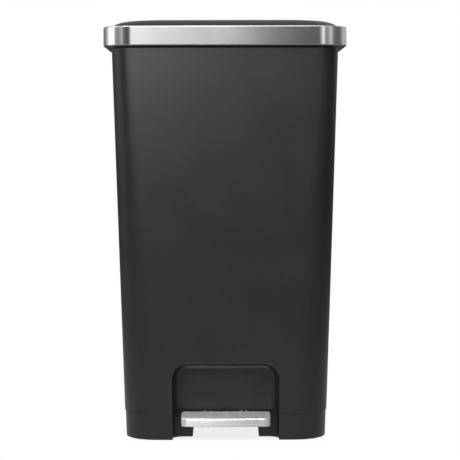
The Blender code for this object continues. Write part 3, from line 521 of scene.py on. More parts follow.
def wear_group():
    """Where edges are rubbed: the rounded normal parts from the true one, broken up by noise."""
    group, source, sink = new_group("edge_wear", [("Vector", "Vector", None), ("Radius", "Float", 0.001),
            ("Amount", "Float", 1.0)], [("Mask", "Float")])
    rounded = node(group, "Bevel", {"Radius": source[1]}, samples=4)
    true = node(group, "NewGeometry")
    facing = node(group, "VectorMath", {0: rounded.outputs[0], 1: true.outputs["Normal"]},
            operation="DOT_PRODUCT").outputs["Value"]
    edge = spread(group, facing, 0.995, 0.86)
    patch = spread(group, noise(group, source[0], 60.0, 5.0, 0.65), 0.38, 0.68)
    mask = maths(group, "MULTIPLY", maths(group, "MULTIPLY", edge, patch), source[2], clamp=True)
    group.links.new(mask, sink[0])
    return group


def handling_group():
    """Faint smudges and settled dust: smudge changes the gloss, dust lies on what faces up."""
    group, source, sink = new_group("handling_marks", [("Vector", "Vector", None), ("Scale", "Float", 9.0)],
            [("Smudge", "Float"), ("Dust", "Float")])
    wide = noise(group, source[0], source[1], 3.0, 0.5)
    warped = noise(group, scaled(group, source[0], (1.0, 1.0, 0.35)), maths(group, "MULTIPLY", source[1],
            3.1), 5.0, 0.6)
    smudge = maths(group, "MULTIPLY", spread(group, wide, 0.42, 0.68), spread(group, warped, 0.35, 0.7),
            clamp=True)
    group.links.new(smudge, sink[0])
    up = node(group, "SeparateXYZ", {0: node(group, "NewGeometry").outputs["Normal"]}).outputs["Z"]
    specks = spread(group, noise(group, source[0], 420.0, 3.0, 0.7), 0.5, 0.75)
    dust = maths(group, "MULTIPLY", spread(group, up, 0.5, 0.98), specks, clamp=True)
    group.links.new(dust, sink[1])
    return group


def brushing_group():
    """Fine straight scratches: stretched noise that runs with the sheet and is tight across it."""
    group, source, sink = new_group("brushed_grain", [("Along", "Vector", None), ("Across", "Float", 0.0)],
            [("Streak", "Float"), ("Height", "Float")])
    place = node(group, "SeparateXYZ", {0: source[0]})
    streaks = []
    for run, tight in ((5.0, 2600.0), (2.2, 900.0)):
        line = node(group, "CombineXYZ", {"X": maths(group, "MULTIPLY", place.outputs["X"], run),
                "Y": maths(group, "MULTIPLY", place.outputs["Y"], run), "Z": maths(group, "MULTIPLY",
                source[1], tight)})
        streaks.append(noise(group, line.outputs[0], 1.0, 3.0, 0.7))
    both = maths(group, "MULTIPLY_ADD", streaks[0], 0.6, maths(group, "MULTIPLY", streaks[1], 0.4))
    group.links.new(spread(group, both, 0.32, 0.68), sink[0])
    group.links.new(both, sink[1])
    return group


GRAIN = grain_group()
WEAR = wear_group()
HANDLING = handling_group()
BRUSHING = brushing_group()


# ---------------------------------------------------------------- finishes
def new_finish(name):
    material = bpy.data.materials.new(name)
    material.use_nodes = True
    tree = material.node_tree
    shader = tree.nodes["Principled BSDF"]
    place = node(tree, "TexCoord").outputs["Object"]
    return material, tree, shader, place


def grouped(tree, group, **values):
    made = tree.nodes.new("ShaderNodeGroup")
    made.node_tree = group
    for socket, feed in values.items():
        if hasattr(feed, "is_output"):
            tree.links.new(feed, made.inputs[socket])
        else:
            made.inputs[socket].default_value = feed
    return made.outputs


def mixed(tree, factor, first, second):
    made = node(tree, "Mix", data_type="RGBA")
    for index, feed in ((0, factor), (6, first), (7, second)):
        if hasattr(feed, "is_output"):
            tree.links.new(feed, made.inputs[index])
        else:
            made.inputs[index].default_value = feed if index == 0 else (*feed, 1.0)
    return made.outputs[2]


def moulded(name, colour, worn, roughness, grain_scale, bump, specular=0.5, wear=0.6):
    """A moulded plastic or rubber: mottled colour, fine grain, rubbed edges, smudges and dust."""
    material, tree, shader, place = new_finish(name)
    grain = grouped(tree, GRAIN, Vector=place, Scale=grain_scale)
    edge = grouped(tree, WEAR, Vector=place, Radius=0.0012, Amount=wear)
    marks = grouped(tree, HANDLING, Vector=place, Scale=8.0)
    darker = tuple(channel * 0.90 for channel in colour)
    lighter = tuple(channel * 1.08 for channel in colour)
    base = mixed(tree, grain["Mottle"], darker, lighter)
    base = mixed(tree, edge["Mask"], base, worn)
    base = mixed(tree, maths(tree, "MULTIPLY", marks["Dust"], 0.05), base, (0.42, 0.40, 0.37))
    tree.links.new(base, shader.inputs["Base Color"])
    gloss = maths(tree, "MULTIPLY_ADD", marks["Smudge"], 0.05, roughness)
    gloss = maths(tree, "MULTIPLY_ADD", edge["Mask"], -0.08, gloss)
    tree.links.new(maths(tree, "MULTIPLY_ADD", grain["Mottle"], 0.03, gloss), shader.inputs["Roughness"])
    shader.inputs["Specular IOR Level"].default_value = specular
    bumped = node(tree, "Bump", {"Height": grain["Height"], "Strength": bump, "Distance": 0.00002})
    tree.links.new(bumped.outputs[0], shader.inputs["Normal"])
    return material


def brushed(name, dark, light, metal, roughness, stretch):
    """Brushed stainless sheet, with scratches that run along the piece."""
    material, tree, shader, place = new_finish(name)
    across = node(tree, "Attribute", attribute_name="across")
    marks = grouped(tree, HANDLING, Vector=place, Scale=16.0)
    streak = grouped(tree, BRUSHING, Along=place, Across=across.outputs["Fac"])
    base = mixed(tree, streak["Streak"], (dark, dark, dark * 1.01), (light, light, light * 1.005))
    base = mixed(tree, maths(tree, "MULTIPLY", marks["Dust"], 0.04), base, (0.42, 0.40, 0.37))
    tree.links.new(base, shader.inputs["Base Color"])
    shader.inputs["Metallic"].default_value = metal
    gloss = maths(tree, "MULTIPLY_ADD", streak["Streak"], 0.06, roughness)
    tree.links.new(maths(tree, "MULTIPLY_ADD", marks["Smudge"], 0.05, gloss), shader.inputs["Roughness"])
    shader.inputs["Anisotropic"].default_value = stretch
    shader.inputs["Anisotropic Rotation"].default_value = 0.25
    turn = node(tree, "Tangent", direction_type="RADIAL", axis="Z")
    tree.links.new(turn.outputs[0], shader.inputs["Tangent"])
    bumped = node(tree, "Bump", {"Height": streak["Height"], "Strength": 0.2, "Distance": 0.00001})
    tree.links.new(bumped.outputs[0], shader.inputs["Normal"])
    return material


def plated(name):
    """Zinc-plated steel: a faint crystal mottle, tool marks and dulled edges."""
    material, tree, shader, place = new_finish(name)
    crystal = node(tree, "TexVoronoi", {"Vector": place, "Scale": 260.0}, feature="F1")
    tone = node(tree, "SeparateColor", {0: crystal.outputs["Color"]}).outputs[0]
    grain = grouped(tree, GRAIN, Vector=place, Scale=2200.0)
    edge = grouped(tree, WEAR, Vector=place, Radius=0.0006, Amount=0.8)
    base = mixed(tree, tone, (0.40, 0.41, 0.43), (0.56, 0.57, 0.59))
    base = mixed(tree, edge["Mask"], base, (0.30, 0.29, 0.28))
    tree.links.new(base, shader.inputs["Base Color"])
    shader.inputs["Metallic"].default_value = 1.0
    tree.links.new(maths(tree, "MULTIPLY_ADD", tone, 0.12, 0.30), shader.inputs["Roughness"])
    bumped = node(tree, "Bump", {"Height": grain["Height"], "Strength": 0.2, "Distance": 0.00005})
    tree.links.new(bumped.outputs[0], shader.inputs["Normal"])
    return material


PEDAL_FINISH = brushed("satin_pedal_steel", 0.54, 0.70, 0.6, 0.24, 0.6)
FINISHES = {"charcoal_plastic": moulded("charcoal_moulding", (0.017, 0.0163, 0.0174), (0.075, 0.073, 0.076),
        0.285, 1500.0, 0.35), "black_plastic": moulded("black_moulding", (0.018, 0.018, 0.0185), (0.07,
        0.07, 0.072), 0.30, 1500.0, 0.35), "grey_plastic": moulded("grey_moulding", (0.16, 0.16, 0.165),
        (0.24, 0.24, 0.245), 0.46, 1100.0, 0.35), "brushed_steel": brushed("brushed_stainless", 0.66, 0.80,
        1.0, 0.12, 0.85), "zinc_steel": plated("zinc_plating"), "black_rubber": moulded("black_rubber",
        (0.014, 0.014, 0.014), (0.05, 0.05, 0.05), 0.75, 700.0, 0.6, 0.3, 0.4),
        "white_nylon": moulded("natural_nylon", (0.72, 0.70, 0.64), (0.80, 0.78, 0.72), 0.42, 900.0, 0.2,
        0.5, 0.3), }


# ---------------------------------------------------------------- fasteners
def screw(node_name, name, direction, length, body):
    """A pan-head screw with a cross recess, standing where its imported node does."""
    low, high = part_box(node_name)
    direction = direction.normalized()
    head = 0.0022
    seat = (low + high) / 2 - direction * (length + head) / 2 + direction * head
    radius = SCREW_HEAD / 2
    shank = SCREW_SHANK / 2
    thing = turned(name, seat, direction, softened([(-head, radius * 0.3), (-head, radius * 0.72),
            (-head * 0.55, radius), (0, radius), (0, shank), (length - 0.0012, shank), (length,
            shank * 0.3)], 0.0006), 32)
    side = direction.cross(Z_AXIS if abs(direction.z) < 0.5 else X_AXIS).normalized()
    up = direction.cross(side)
    for way, across in ((side, up), (up, side)):
        corners = []
        for along, wide, narrow in ((-head - 0.001, 0.00195, 0.00042), (-head + 0.0011, 0.0012, 0.0003)):
            centre = seat + direction * along
            corners.append([centre - way * wide - across * narrow, centre + way * wide - across * narrow,
                    centre + way * wide + across * narrow, centre - way * wide + across * narrow])
        slot = lofted("cross", corners)
        slot.data.update()
        if (corners[0][1] - corners[0][0]).cross(corners[0][2] - corners[0][1]).dot(direction) < 0:
            slot.data.flip_normals()
        cut(thing, slot)
    return finished(thing, name, [node_name], body, "zinc_steel", sharp=38)


def screws():
    for place in CORNERS:
        screw("base_screw_" + place, "base_fixing_" + place, Z_AXIS, 0.017, "root")
        screw("liner_screw_" + place, "inner_lid_fixing_" + place, Z_AXIS, 0.008, "lid")
    for place in ("low_left", "low_right", "top_left", "top_right"):
        screw("cover_screw_" + place, "panel_fixing_" + place, -Y_AXIS, 0.012, "root")
    for place, _ in SIDES:
        screw("crank_screw_" + place, "crank_fixing_" + place, Z_AXIS, 0.008, "lid")
        screw("pedal_screw_" + place, "pedal_fixing_" + place, Z_AXIS, 0.0105, "pedal")


# ---------------------------------------------------------------- body and base
def lever_port(name):
    """The opening in the recess's rear wall that the lever passes through."""
    low = PORT_HALF
    high = low - 0.005
    return lofted(name, [[(-high, y, PORT_TOP), (high, y, PORT_TOP), (low, y, -0.01), (-low, y,
            -0.01)] for y in (RECESS_BACK - 0.003, RECESS_BACK + 0.008)])


def cover_spots():
    return [(middle("cover_screw_" + place).x, middle("cover_screw_" + place).z) for place in ("low_left",
            "low_right", "top_left", "top_right")]


def body_moulding():
    inner = WALL
    shell = lofted("body", [body_loop(BIN_UNDER, inner), body_loop(BODY_FOOT, inner), body_loop(BODY_FOOT,
            0.0006), body_loop(BODY_FOOT + 0.0002, 0.0002), body_loop(BODY_FOOT + 0.0006, 0.0),
            body_loop(BODY_TOP), body_loop(BODY_TOP, inner), body_loop(BIN_FLOOR + 0.006, inner),
            body_loop(BIN_FLOOR + 0.002, inner + 0.0015), body_loop(BIN_FLOOR, inner + 0.006)])
    recess_top = RECESS_HEIGHT + 2 * WALL
    core = lofted("core", [body_loop(BODY_FOOT + 0.0005, WALL / 2), body_loop(recess_top + 0.05, WALL / 2)])
    walls = shape(recess_walls("walls", 0.0, recess_top), "INTERSECT", core)
    channel_walls = slanted_block("channel_walls", CHANNEL_HALF + WALL, CHANNEL_DEPTH + WALL, WALL / 2,
            BIN_UNDER + WALL / 2, BODY_TOP - 0.0005)
    join(shell, walls, channel_walls)
    channel = slanted_block("channel", CHANNEL_HALF, CHANNEL_DEPTH, -0.05, 0.060, BODY_TOP + 0.05)
    cut(shell, recess_space("recess"), channel)
    bush_bore = 0.0096
    for _, side in SIDES:
        inside = LEVER_HALF + 0.004
        x = sorted((side * inside, side * (inside + 0.004)))
        join(shell, block("cheek", (x[0], PIVOT.y - 0.014, PIVOT.z - 0.010), (x[1], PIVOT.y + 0.014,
                BIN_UNDER + 0.001)), *[block("rib", (min(x[side > 0], x[side > 0] + side * 0.012),
                PIVOT.y + y - 0.001, BIN_UNDER - 0.016), (max(x[side > 0], x[side > 0] + side * 0.012),
                PIVOT.y + y + 0.001, BIN_UNDER + 0.001)) for y in (-0.010, 0.010)])
        cut(shell, drill(Vector((x[0] - 0.001, PIVOT.y, PIVOT.z)), Vector((x[1] + 0.001, PIVOT.y, PIVOT.z)),
                bush_bore))
    for x, z in cover_spots():
        start = Vector((x, rear_face(z), z))
        reach = CHANNEL_DEPTH + WALL / 2
        join(shell, bar("post", start - Y_AXIS * (COVER_SHEET + TOUCH_GAP), start - Y_AXIS * reach, 0.013,
                0.0))
        cut(shell, drill(start + Y_AXIS * 0.001, start - Y_AXIS * 0.015, SCREW_BORE))
    saddle(shell)
    for place in CORNERS:
        spot = middle("base_screw_" + place)
        foot = above(spot, FLANGE_TOP + TOUCH_GAP)
        top = above(spot, BIN_UNDER + WALL / 2)
        join(shell, bar("boss", foot, top, 0.010, 0.0))
        cut(shell, drill(foot - Z_AXIS * 0.002, foot + Z_AXIS * 0.018, SCREW_BORE))
    finished(shell, "body_moulding", ["body_shell"], "root", "charcoal_plastic")


def saddle(shell):
    """A moulded saddle and stop hold the damper's cylinder in the channel."""
    low, high = span("damper_cylinder", 2)
    half = 0.009
    centre = (low + high) / 2
    wall = rear_face(high) - CHANNEL_DEPTH - WALL / 2
    for foot, top in ((centre - 0.006, centre + 0.006), (high + TOUCH_GAP, high + 0.005)):
        join(shell, block("saddle", (DAMPER.x - half, wall, foot), (DAMPER.x + half, DAMPER.y + 0.004, top)))
    start = above(DAMPER, centre - 0.012)
    cut(shell, drill(start, start + Z_AXIS * 0.024, 0.0156))


def base_moulding():
    tongue = WALL + TOUCH_GAP - BASE_STEP
    profile = [(0.0, BASE_LIFT + 0.002), (0.0, BASE_TOP - 0.0006), (0.0002, BASE_TOP - 0.0002), (0.0006,
            BASE_TOP), (tongue, BASE_TOP), (tongue, BASE_TOP + 0.0100), (tongue + 0.0024,
            BASE_TOP + 0.0100), (tongue + 0.0024, BASE_TOP - 0.0040), (WALL, BASE_TOP - 0.0055), (WALL,
            FLANGE_TOP), (FLANGE_WIDTH, FLANGE_TOP), (FLANGE_WIDTH, FLANGE_FOOT), (0.0035, FLANGE_FOOT),
            (0.0035, BASE_LIFT), (0.0020, BASE_LIFT), (0.0010, BASE_LIFT + 0.0003), (0.0003,
            BASE_LIFT + 0.0010)]
    base = lofted("base", [base_loop(z, inset) for inset, z in profile], ring=True)
    clear = RECESS_WIDTH / 2 + WALL + 0.0005
    cut(base, block("gap", (-clear, -BAND_DEPTH / 2, BASE_TOP + 0.0001), (clear, RECESS_BACK,
            BASE_TOP + 0.05)))
    core = lofted("core", [base_loop(BASE_LIFT + 0.0005, WALL / 2), base_loop(BASE_TOP - 0.0005, WALL / 2)])
    walls = shape(recess_walls("walls", -0.05, RECESS_HEIGHT), "INTERSECT", core)
    join(base, walls)
    cut(base, recess_space("recess", BASE_STEP, -0.1), lever_port("port"))
    for place in CORNERS:
        for kind, bore in (("base_screw_", SCREW_BORE), ("foot_", 0.0066)):
            spot = middle(kind + place)
            cut(base, drill(above(spot, -0.01), above(spot, 0.02), bore))
    finished(base, "base_moulding", ["base_ring"], "root", "charcoal_plastic")


def rubber_feet():
    for place in CORNERS:
        low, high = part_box("foot_" + place)
        centre = (low + high) / 2
        radius = (high.x - low.x) / 2
        pad = FLANGE_FOOT - TOUCH_GAP
        foot = turned("foot", above(centre, 0), Z_AXIS, softened([(0.0008, 0.002), (0.0008,
                radius - 0.0045), (0, radius - 0.0040), (0, radius - 0.0010), (pad * 0.45, radius), (pad,
                radius), (pad, 0.003), (pad + 0.006, 0.003), (pad + 0.006, 0.001)], 0.0005), 48)
        finished(foot, "rubber_foot_" + place, ["foot_" + place], "root", "black_rubber")


def rear_panel():
    panel = slanted_block("panel", CHANNEL_HALF - 0.0005, COVER_SHEET, 0.0, COVER_FOOT, COVER_TOP)
    for x, z in cover_spots():
        start = Vector((x, rear_face(z), z))
        cut(panel, bar("hole", start + Y_AXIS * 0.003, start - Y_AXIS * 0.005, SCREW_BORE, 0.0))
    for row in range(7):
        z = COVER_FOOT + 0.145 + row * 0.055
        cut(panel, block("groove", (-0.020, rear_face(z) - 0.0007, z), (0.020, rear_face(z) + 0.01,
                z + 0.0012)))
    finished(panel, "rear_panel", ["rear_cover"], "root", "charcoal_plastic", bevel=0.0006)


# ---------------------------------------------------------------- rim
def store_across(thing, rule):
    """Keep how far each point lies across the sheet, for the brushing."""
    across = thing.data.attributes.new("across", "FLOAT", "POINT")
    across.data.foreach_set("value", [rule(vertex.co) for vertex in thing.data.vertices])


def rim_pieces():
    inside = COLLAR_SKIN + COLLAR_WALL
    throat = LID_INSET - 0.001
    top = BAND_TOP - BAND_STEEL - TOUCH_GAP
    under = top - COLLAR_WALL
    skirt = OVERHANG + WALL + 0.0012
    lip = OVERHANG - 0.0007
    collar = lofted("collar", [rim_loop(COLLAR_SKIN, BAND_BOTTOM - 0.0006), rim_loop(COLLAR_SKIN,
            top - COLLAR_WALL), rim_loop(inside, top), rim_loop(throat, top), rim_loop(throat, LEDGE_TOP),
            mouth_loop(0.0, LEDGE_TOP), mouth_loop(0.0, LEDGE_TOP - 0.008), mouth_loop(0.002,
            LEDGE_TOP - 0.008), mouth_loop(0.002, LEDGE_FOOT), rim_loop(skirt + 0.0022, LEDGE_FOOT),
            rim_loop(skirt + 0.0022, LEDGE_FOOT - 0.0255), rim_loop(skirt, LEDGE_FOOT - 0.0255),
            rim_loop(skirt, LEDGE_FOOT), rim_loop(throat - COLLAR_WALL, LEDGE_FOOT),
            rim_loop(throat - COLLAR_WALL, under), rim_loop(inside, under), rim_loop(inside,
            BAND_BOTTOM + 0.0012), rim_loop(lip, BAND_BOTTOM - 0.0022), rim_loop(lip, BAND_BOTTOM - 0.0038),
            rim_loop(lip - 0.0004, BAND_BOTTOM - 0.0041)], ring=True)
    half_gap = CHANNEL_HALF + WALL + 0.0005
    cut(collar, block("skirt_gap", (-half_gap, CAVITY_REAR + 0.003, BAND_BOTTOM - 0.05), (half_gap,
            BAND_DEPTH / 2 - OVERHANG - 0.0008, LEDGE_FOOT - 0.0001)), block("rod_slot", (ROD_X - 0.006,
            CRANK_PIN.y - 0.0116, LEDGE_FOOT - 0.001), (ROD_X + 0.006, CRANK_PIN.y + 0.005,
            LEDGE_TOP + 0.001)))
    edge = BAND_EDGE
    steel = BAND_STEEL
    hem = 0.0012
    profile = [(steel, BAND_BOTTOM + 0.0004), (hem * 0.7, BAND_BOTTOM)]
    profile += [(hem * (1 - math.cos(turn)), BAND_BOTTOM + hem * (1 - math.sin(turn)))
            for turn in (math.radians(90 - 90 * step / 5) for step in range(1, 6))]
    profile += [(edge * (1 - math.cos(turn)), BAND_TOP - edge * (1 - math.sin(turn)))
            for turn in (math.radians(90 * step / 8) for step in range(9))]
    profile += [(BAND_TURN_IN - 0.0003, BAND_TOP), (BAND_TURN_IN, BAND_TOP - 0.0003), (BAND_TURN_IN,
            BAND_TOP - steel)]
    profile += [(edge - (edge - steel) * math.cos(turn), BAND_TOP - edge + (edge - steel) * math.sin(turn))
            for turn in (math.radians(90 - 90 * step / 5) for step in range(6))]
    band = lofted("band", [rim_loop(inset, z) for inset, z in profile], ring=True)
    for _, side in SIDES:
        centre = side * HINGE_SPAN
        start = KNUCKLE_HALF + TOUCH_GAP
        half_post = KNUCKLE - 0.0012
        for low in (centre - start - POST_LENGTH, centre + start):
            high = low + POST_LENGTH
            join(collar, block("post", (low, HINGE.y - half_post, BAND_TOP - 0.0025), (high,
                    HINGE.y + half_post, HINGE.z)))
            join(collar, bar("post_round", Vector((low, HINGE.y, HINGE.z)), Vector((high, HINGE.y,
                    HINGE.z)), 2 * KNUCKLE))
        reach = start + POST_LENGTH
        cut(collar, drill(Vector((centre - reach - 0.001, HINGE.y, HINGE.z)),
                Vector((centre + reach + 0.001, HINGE.y, HINGE.z)), PIN_BORE))
        notch = reach + 0.0005
        cut(band, block("notch", (centre - notch, BAND_DEPTH / 2 - BAND_TURN_IN - 0.002, BAND_TOP - 0.0015),
                (centre + notch, BAND_DEPTH / 2 - 0.0009, BAND_TOP + 0.003)))
    store_across(band, band_across)
    finished(collar, "collar_moulding", ["rim_collar"], "root", "black_plastic", bevel=0.0003)
    finished(band, "steel_band", ["rim_band"], "root", "brushed_steel", sharp=50)


def band_across(point):
    """Height up the band's wall, then distance in over its top."""
    half_x = BAND_WIDTH / 2
    half_y = BAND_DEPTH / 2
    if point.z < BAND_TOP - BAND_EDGE:
        return point.z
    centre_x = half_x - BAND_CORNER
    centre_y = half_y - BAND_CORNER
    dx = abs(point.x) - centre_x
    dy = abs(point.y) - centre_y
    if dx > 0 and dy > 0:
        inset = BAND_CORNER - math.hypot(dx, dy)
    else:
        inset = min(half_x - abs(point.x), half_y - abs(point.y))
    return BAND_TOP - BAND_EDGE + inset + 0.5 * (point.z - BAND_TOP + BAND_EDGE)


# ---------------------------------------------------------------- lid
def lid_dome():
    steps = [DOME_REACH * (i / 14) ** 1.6 for i in range(15)]
    sheet = LID_WALL + 0.0002
    outer = [lid_loop(0.0, LID_FOOT + 0.0005), lid_loop(0.0, BAND_TOP - 0.0006)]
    outer += [lid_loop(inset + 0.0003, dome_height(inset)) for inset in steps]
    inner = [lid_loop(max(inset, LID_WALL), dome_height(inset) - sheet) for inset in reversed(steps[4:])]
    inner.append(lid_loop(LID_WALL, LID_FOOT))
    inner.append(lid_loop(0.0005, LID_FOOT))
    lid = lofted("lid", inner + outer)
    for _, side in SIDES:
        low = side * HINGE_SPAN - KNUCKLE_HALF
        high = low + 2 * KNUCKLE_HALF
        arm_line = [(HINGE.y, -0.0042), (HINGE.y, 0.0048), (HINGE.y - 0.008, 0.0049), (HINGE.y - 0.016,
                0.0046), (HINGE.y - 0.026, 0.0039), (HINGE.y - 0.034, 0.0028), (HINGE.y - 0.034, -0.0005),
                (HINGE.y - 0.012, -0.0042)]
        arm = lofted("arm", [[(x, y, HINGE.z + z) for y, z in arm_line] for x in (low, high)])
        knuckle = bar("knuckle", Vector((low, HINGE.y, HINGE.z)), Vector((high, HINGE.y, HINGE.z)),
                2 * KNUCKLE)
        join(lid, arm, knuckle)
        cut(lid, drill(Vector((low - 0.001, HINGE.y, HINGE.z)), Vector((high + 0.001, HINGE.y, HINGE.z)),
                PIN_BORE))
    spots = ["liner_screw_" + place for place in CORNERS] + ["crank_screw_" + place for place, _ in SIDES]
    for name in spots:
        spot = middle(name)
        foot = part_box(name)[1].z - BOSS_DROP
        edge = BAND_DEPTH / 2 - LID_INSET - abs(spot.y)
        top = dome_height(min(edge, DOME_REACH)) - LID_WALL / 2
        join(lid, bar("boss", above(spot, foot), above(spot, top), 0.009, 0.0))
        cut(lid, drill(above(spot, foot - 0.002), above(spot, foot + 0.0063), SCREW_BORE))
    cut(lid, block("notch", (ROD_X - 0.010, CRANK_PIN.y, LID_FOOT - 0.001), (ROD_X + 0.010, HINGE.y,
            CRANK_PIN.z + 0.0045)))
    finished(lid, "lid_dome", ["lid_shell"], "lid", "black_plastic")


def inner_lid():
    foot, top = span("lid_liner", 2)
    sheet = 0.002
    rim = LID_WALL + 0.0005
    raise_by = 0.0012
    outer = [lid_loop(rim + 0.052, foot + raise_by), lid_loop(rim + 0.050, foot + raise_by),
            lid_loop(rim + 0.0465, foot + 0.0002), lid_loop(rim + 0.045, foot), lid_loop(rim + 0.0016,
            foot), lid_loop(rim + 0.0005, foot + 0.0005), lid_loop(rim, foot + 0.0016)]
    inner = [lid_loop(rim, top), lid_loop(rim + sheet, top), lid_loop(rim + sheet, foot + sheet + raise_by),
            lid_loop(rim + 0.052, foot + sheet + raise_by)]
    liner = lofted("liner", outer + inner)
    cut(liner, block("notch", (ROD_X - 0.024, CRANK_PIN.y - 0.022, LEDGE_TOP), (ROD_X + 0.024,
            BAND_DEPTH / 2, BAND_TOP)))
    for place in CORNERS:
        spot = middle("liner_screw_" + place)
        cut(liner, drill(above(spot, LEDGE_TOP), above(spot, BAND_TOP), SCREW_BORE))
    finished(liner, "inner_lid", ["lid_liner"], "lid", "grey_plastic")


def crank_lug():
    low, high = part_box("lid_crank")
    seat = high.z
    sheet = 0.002
    crank = block("crank", (low.x, low.y, seat - sheet), (high.x, CRANK_PIN.y + 0.005, seat))
    lug = 0.0055
    inner = EYE_THICKNESS / 2 + 0.003
    for _, side in SIDES:
        x = sorted((ROD_X + side * inner, ROD_X + side * (inner + 0.0025)))
        join(crank, block("lug", (x[0], CRANK_PIN.y - lug + 0.0002, CRANK_PIN.z), (x[1],
                CRANK_PIN.y + lug - 0.0002, seat - sheet / 2)), bar("lug_round", Vector((x[0], CRANK_PIN.y,
                CRANK_PIN.z)), Vector((x[1], CRANK_PIN.y, CRANK_PIN.z)), 2 * lug, 0.0))
    reach = X_AXIS * (inner + 0.0035)
    cut(crank, drill(CRANK_PIN - reach, CRANK_PIN + reach, PIN_BORE))
    for place, _ in SIDES:
        spot = middle("crank_screw_" + place)
        cut(crank, drill(above(spot, seat - 0.005), above(spot, seat + 0.005), SCREW_BORE))
    finished(crank, "crank_lug", ["lid_crank"], "lid", "zinc_steel", bevel=0.00025)
    finished(bar("pin", CRANK_PIN - reach, CRANK_PIN + reach, PIN_DIAMETER, 0.0005), "crank_pivot_pin",
            ["crank_pin"], "lid", "zinc_steel")


# ---------------------------------------------------------------- rod, damper and lever
def push_rod():
    foot = Vector((ROD_X, REAR_PIN.y, REAR_PIN.z))
    way = (CRANK_PIN - foot).normalized()
    clear = way * (EYE_DIAMETER / 2 - 0.001)
    rod = bar("rod", foot + clear, CRANK_PIN - clear, 0.005, 0.0, 24)
    half = X_AXIS * EYE_THICKNESS / 2
    for centre in (foot, CRANK_PIN):
        join(rod, bar("eye", centre - half, centre + half, EYE_DIAMETER))
        cut(rod, drill(centre - half * 1.5, centre + half * 1.5, PIN_BORE))
    finished(rod, "lift_rod", ["push_rod"], "push_rod", "zinc_steel")
    reach = X_AXIS * 0.009
    finished(bar("pin", foot - reach, foot + reach, PIN_DIAMETER, 0.0005), "rod_foot_pivot_pin",
            ["rod_foot_pin"], "push_rod", "zinc_steel")


def damper():
    low, high = span("damper_cylinder", 2)
    length = high - low
    outer = 0.0075
    bore = outer - 0.0013
    axis = above(DAMPER, low)
    cylinder = turned("cylinder", axis, Z_AXIS, softened([(length - 0.003, 0.002), (length - 0.003, bore),
            (0, bore), (0, outer), (0.006, outer), (0.0066, outer - 0.0005), (0.0078, outer - 0.0005),
            (0.0084, outer), (length, outer), (length, 0.002)], 0.0004))
    finished(cylinder, "damper_tube", ["damper_cylinder"], "root", "black_plastic")
    stem = 0.0025
    piston = bore - TOUCH_GAP
    gland = turned("gland", axis + Z_AXIS * 0.0005, Z_AXIS, [(0, stem + TOUCH_GAP), (0, piston - 0.0004),
            (0.0004, piston), (0.0046, piston), (0.005, piston - 0.0004), (0.005, stem + TOUCH_GAP)],
            ring=True)
    finished(gland, "damper_end_gland", ["damper_gland"], "root", "white_nylon")
    foot = Vector((DAMPER.x, REAR_PIN.y, REAR_PIN.z))
    head = low + 0.0075 - foot.z
    rod = turned("rod", foot, Z_AXIS, [(EYE_DIAMETER / 2 - 0.001, stem), (head, stem), (head, piston),
            (head + 0.006, piston)], 24)
    half = X_AXIS * EYE_THICKNESS / 2
    join(rod, bar("eye", foot - half, foot + half, EYE_DIAMETER))
    cut(rod, drill(foot - half * 1.5, foot + half * 1.5, PIN_DIAMETER + 0.0022))
    finished(rod, "damper_piston_rod", ["damper_rod"], "damper_rod", "zinc_steel")


def lever_pressing():
    """The lever is drawn about its pivot, along +Y, and then tilted to rest."""
    ear = 0.0025
    plate_top = -LEVER_DROP
    plate_foot = plate_top - LEVER_PLATE
    nose = PEDAL_FRONT - PIVOT.y + 0.008
    tail = LEVER_ARM + 0.006
    lever = block("lever", (-LEVER_HALF, nose, plate_foot), (LEVER_HALF, tail, plate_top))
    buried = plate_foot + LEVER_PLATE / 2
    slip = PIN_DIAMETER / 2 + 0.0011
    inner = EYE_THICKNESS / 2 + 0.003
    swing = 0.024 * (1 - math.cos(math.radians(40)))
    ear_reach = 0.0072
    ears = [(-LEVER_HALF, -0.008, 0.008, 0.0075), (LEVER_HALF - ear, -0.008, 0.008, 0.0075)]
    for x, low in ((ROD_X, LEVER_ARM - swing - slip - 0.004), (DAMPER.x, LEVER_ARM - ear_reach)):
        ears += [(x - inner - ear, low, tail - 0.0001, ear_reach), (x + inner, low, tail - 0.0001, ear_reach)]
    for x, low, high, top in ears:
        join(lever, block("ear", (x + 0.00005, low, buried), (x + ear - 0.00005, high, top)))
    reach = X_AXIS * (LEVER_HALF + 0.001)
    cut(lever, drill(-reach, reach, AXLE_DIAMETER + 0.0006))
    eye = Vector((DAMPER.x, LEVER_ARM, 0))
    reach = X_AXIS * (inner + ear + 0.001)
    cut(lever, drill(eye - reach, eye + reach, PIN_BORE))
    slot = []
    for side in (-1, 1):
        loop = []
        for centre, start in ((LEVER_ARM, -90), (LEVER_ARM - swing - 0.0006, 90)):
            for step in range(13):
                turn = math.radians(start + 15 * step)
                loop.append((ROD_X + side * reach.x, centre + slip * math.cos(turn), slip * math.sin(turn)))
        slot.append(loop)
    cut(lever, lofted("slot", slot))
    holes = [(middle("pedal_screw_left").x, PEDAL_FRONT + 0.024 - PIVOT.y, 0.005),
            (middle("pedal_screw_right").x, PEDAL_FRONT + 0.024 - PIVOT.y, 0.005), (0, 0.045, 0.022), (0,
            0.085, 0.022), (0, 0.125, 0.022)]
    for x, y, bore in holes:
        cut(lever, drill(Vector((x, y, -0.03)), Vector((x, y, 0.03)), bore))
    finished(tilted(lever), "lever_pressing", ["pedal_lever"], "pedal", "zinc_steel", bevel=0.0003)
    finished(tilted(bar("pin", eye - reach, eye + reach, PIN_DIAMETER, 0.0005)), "damper_pivot_pin",
            ["damper_pin"], "pedal", "zinc_steel")


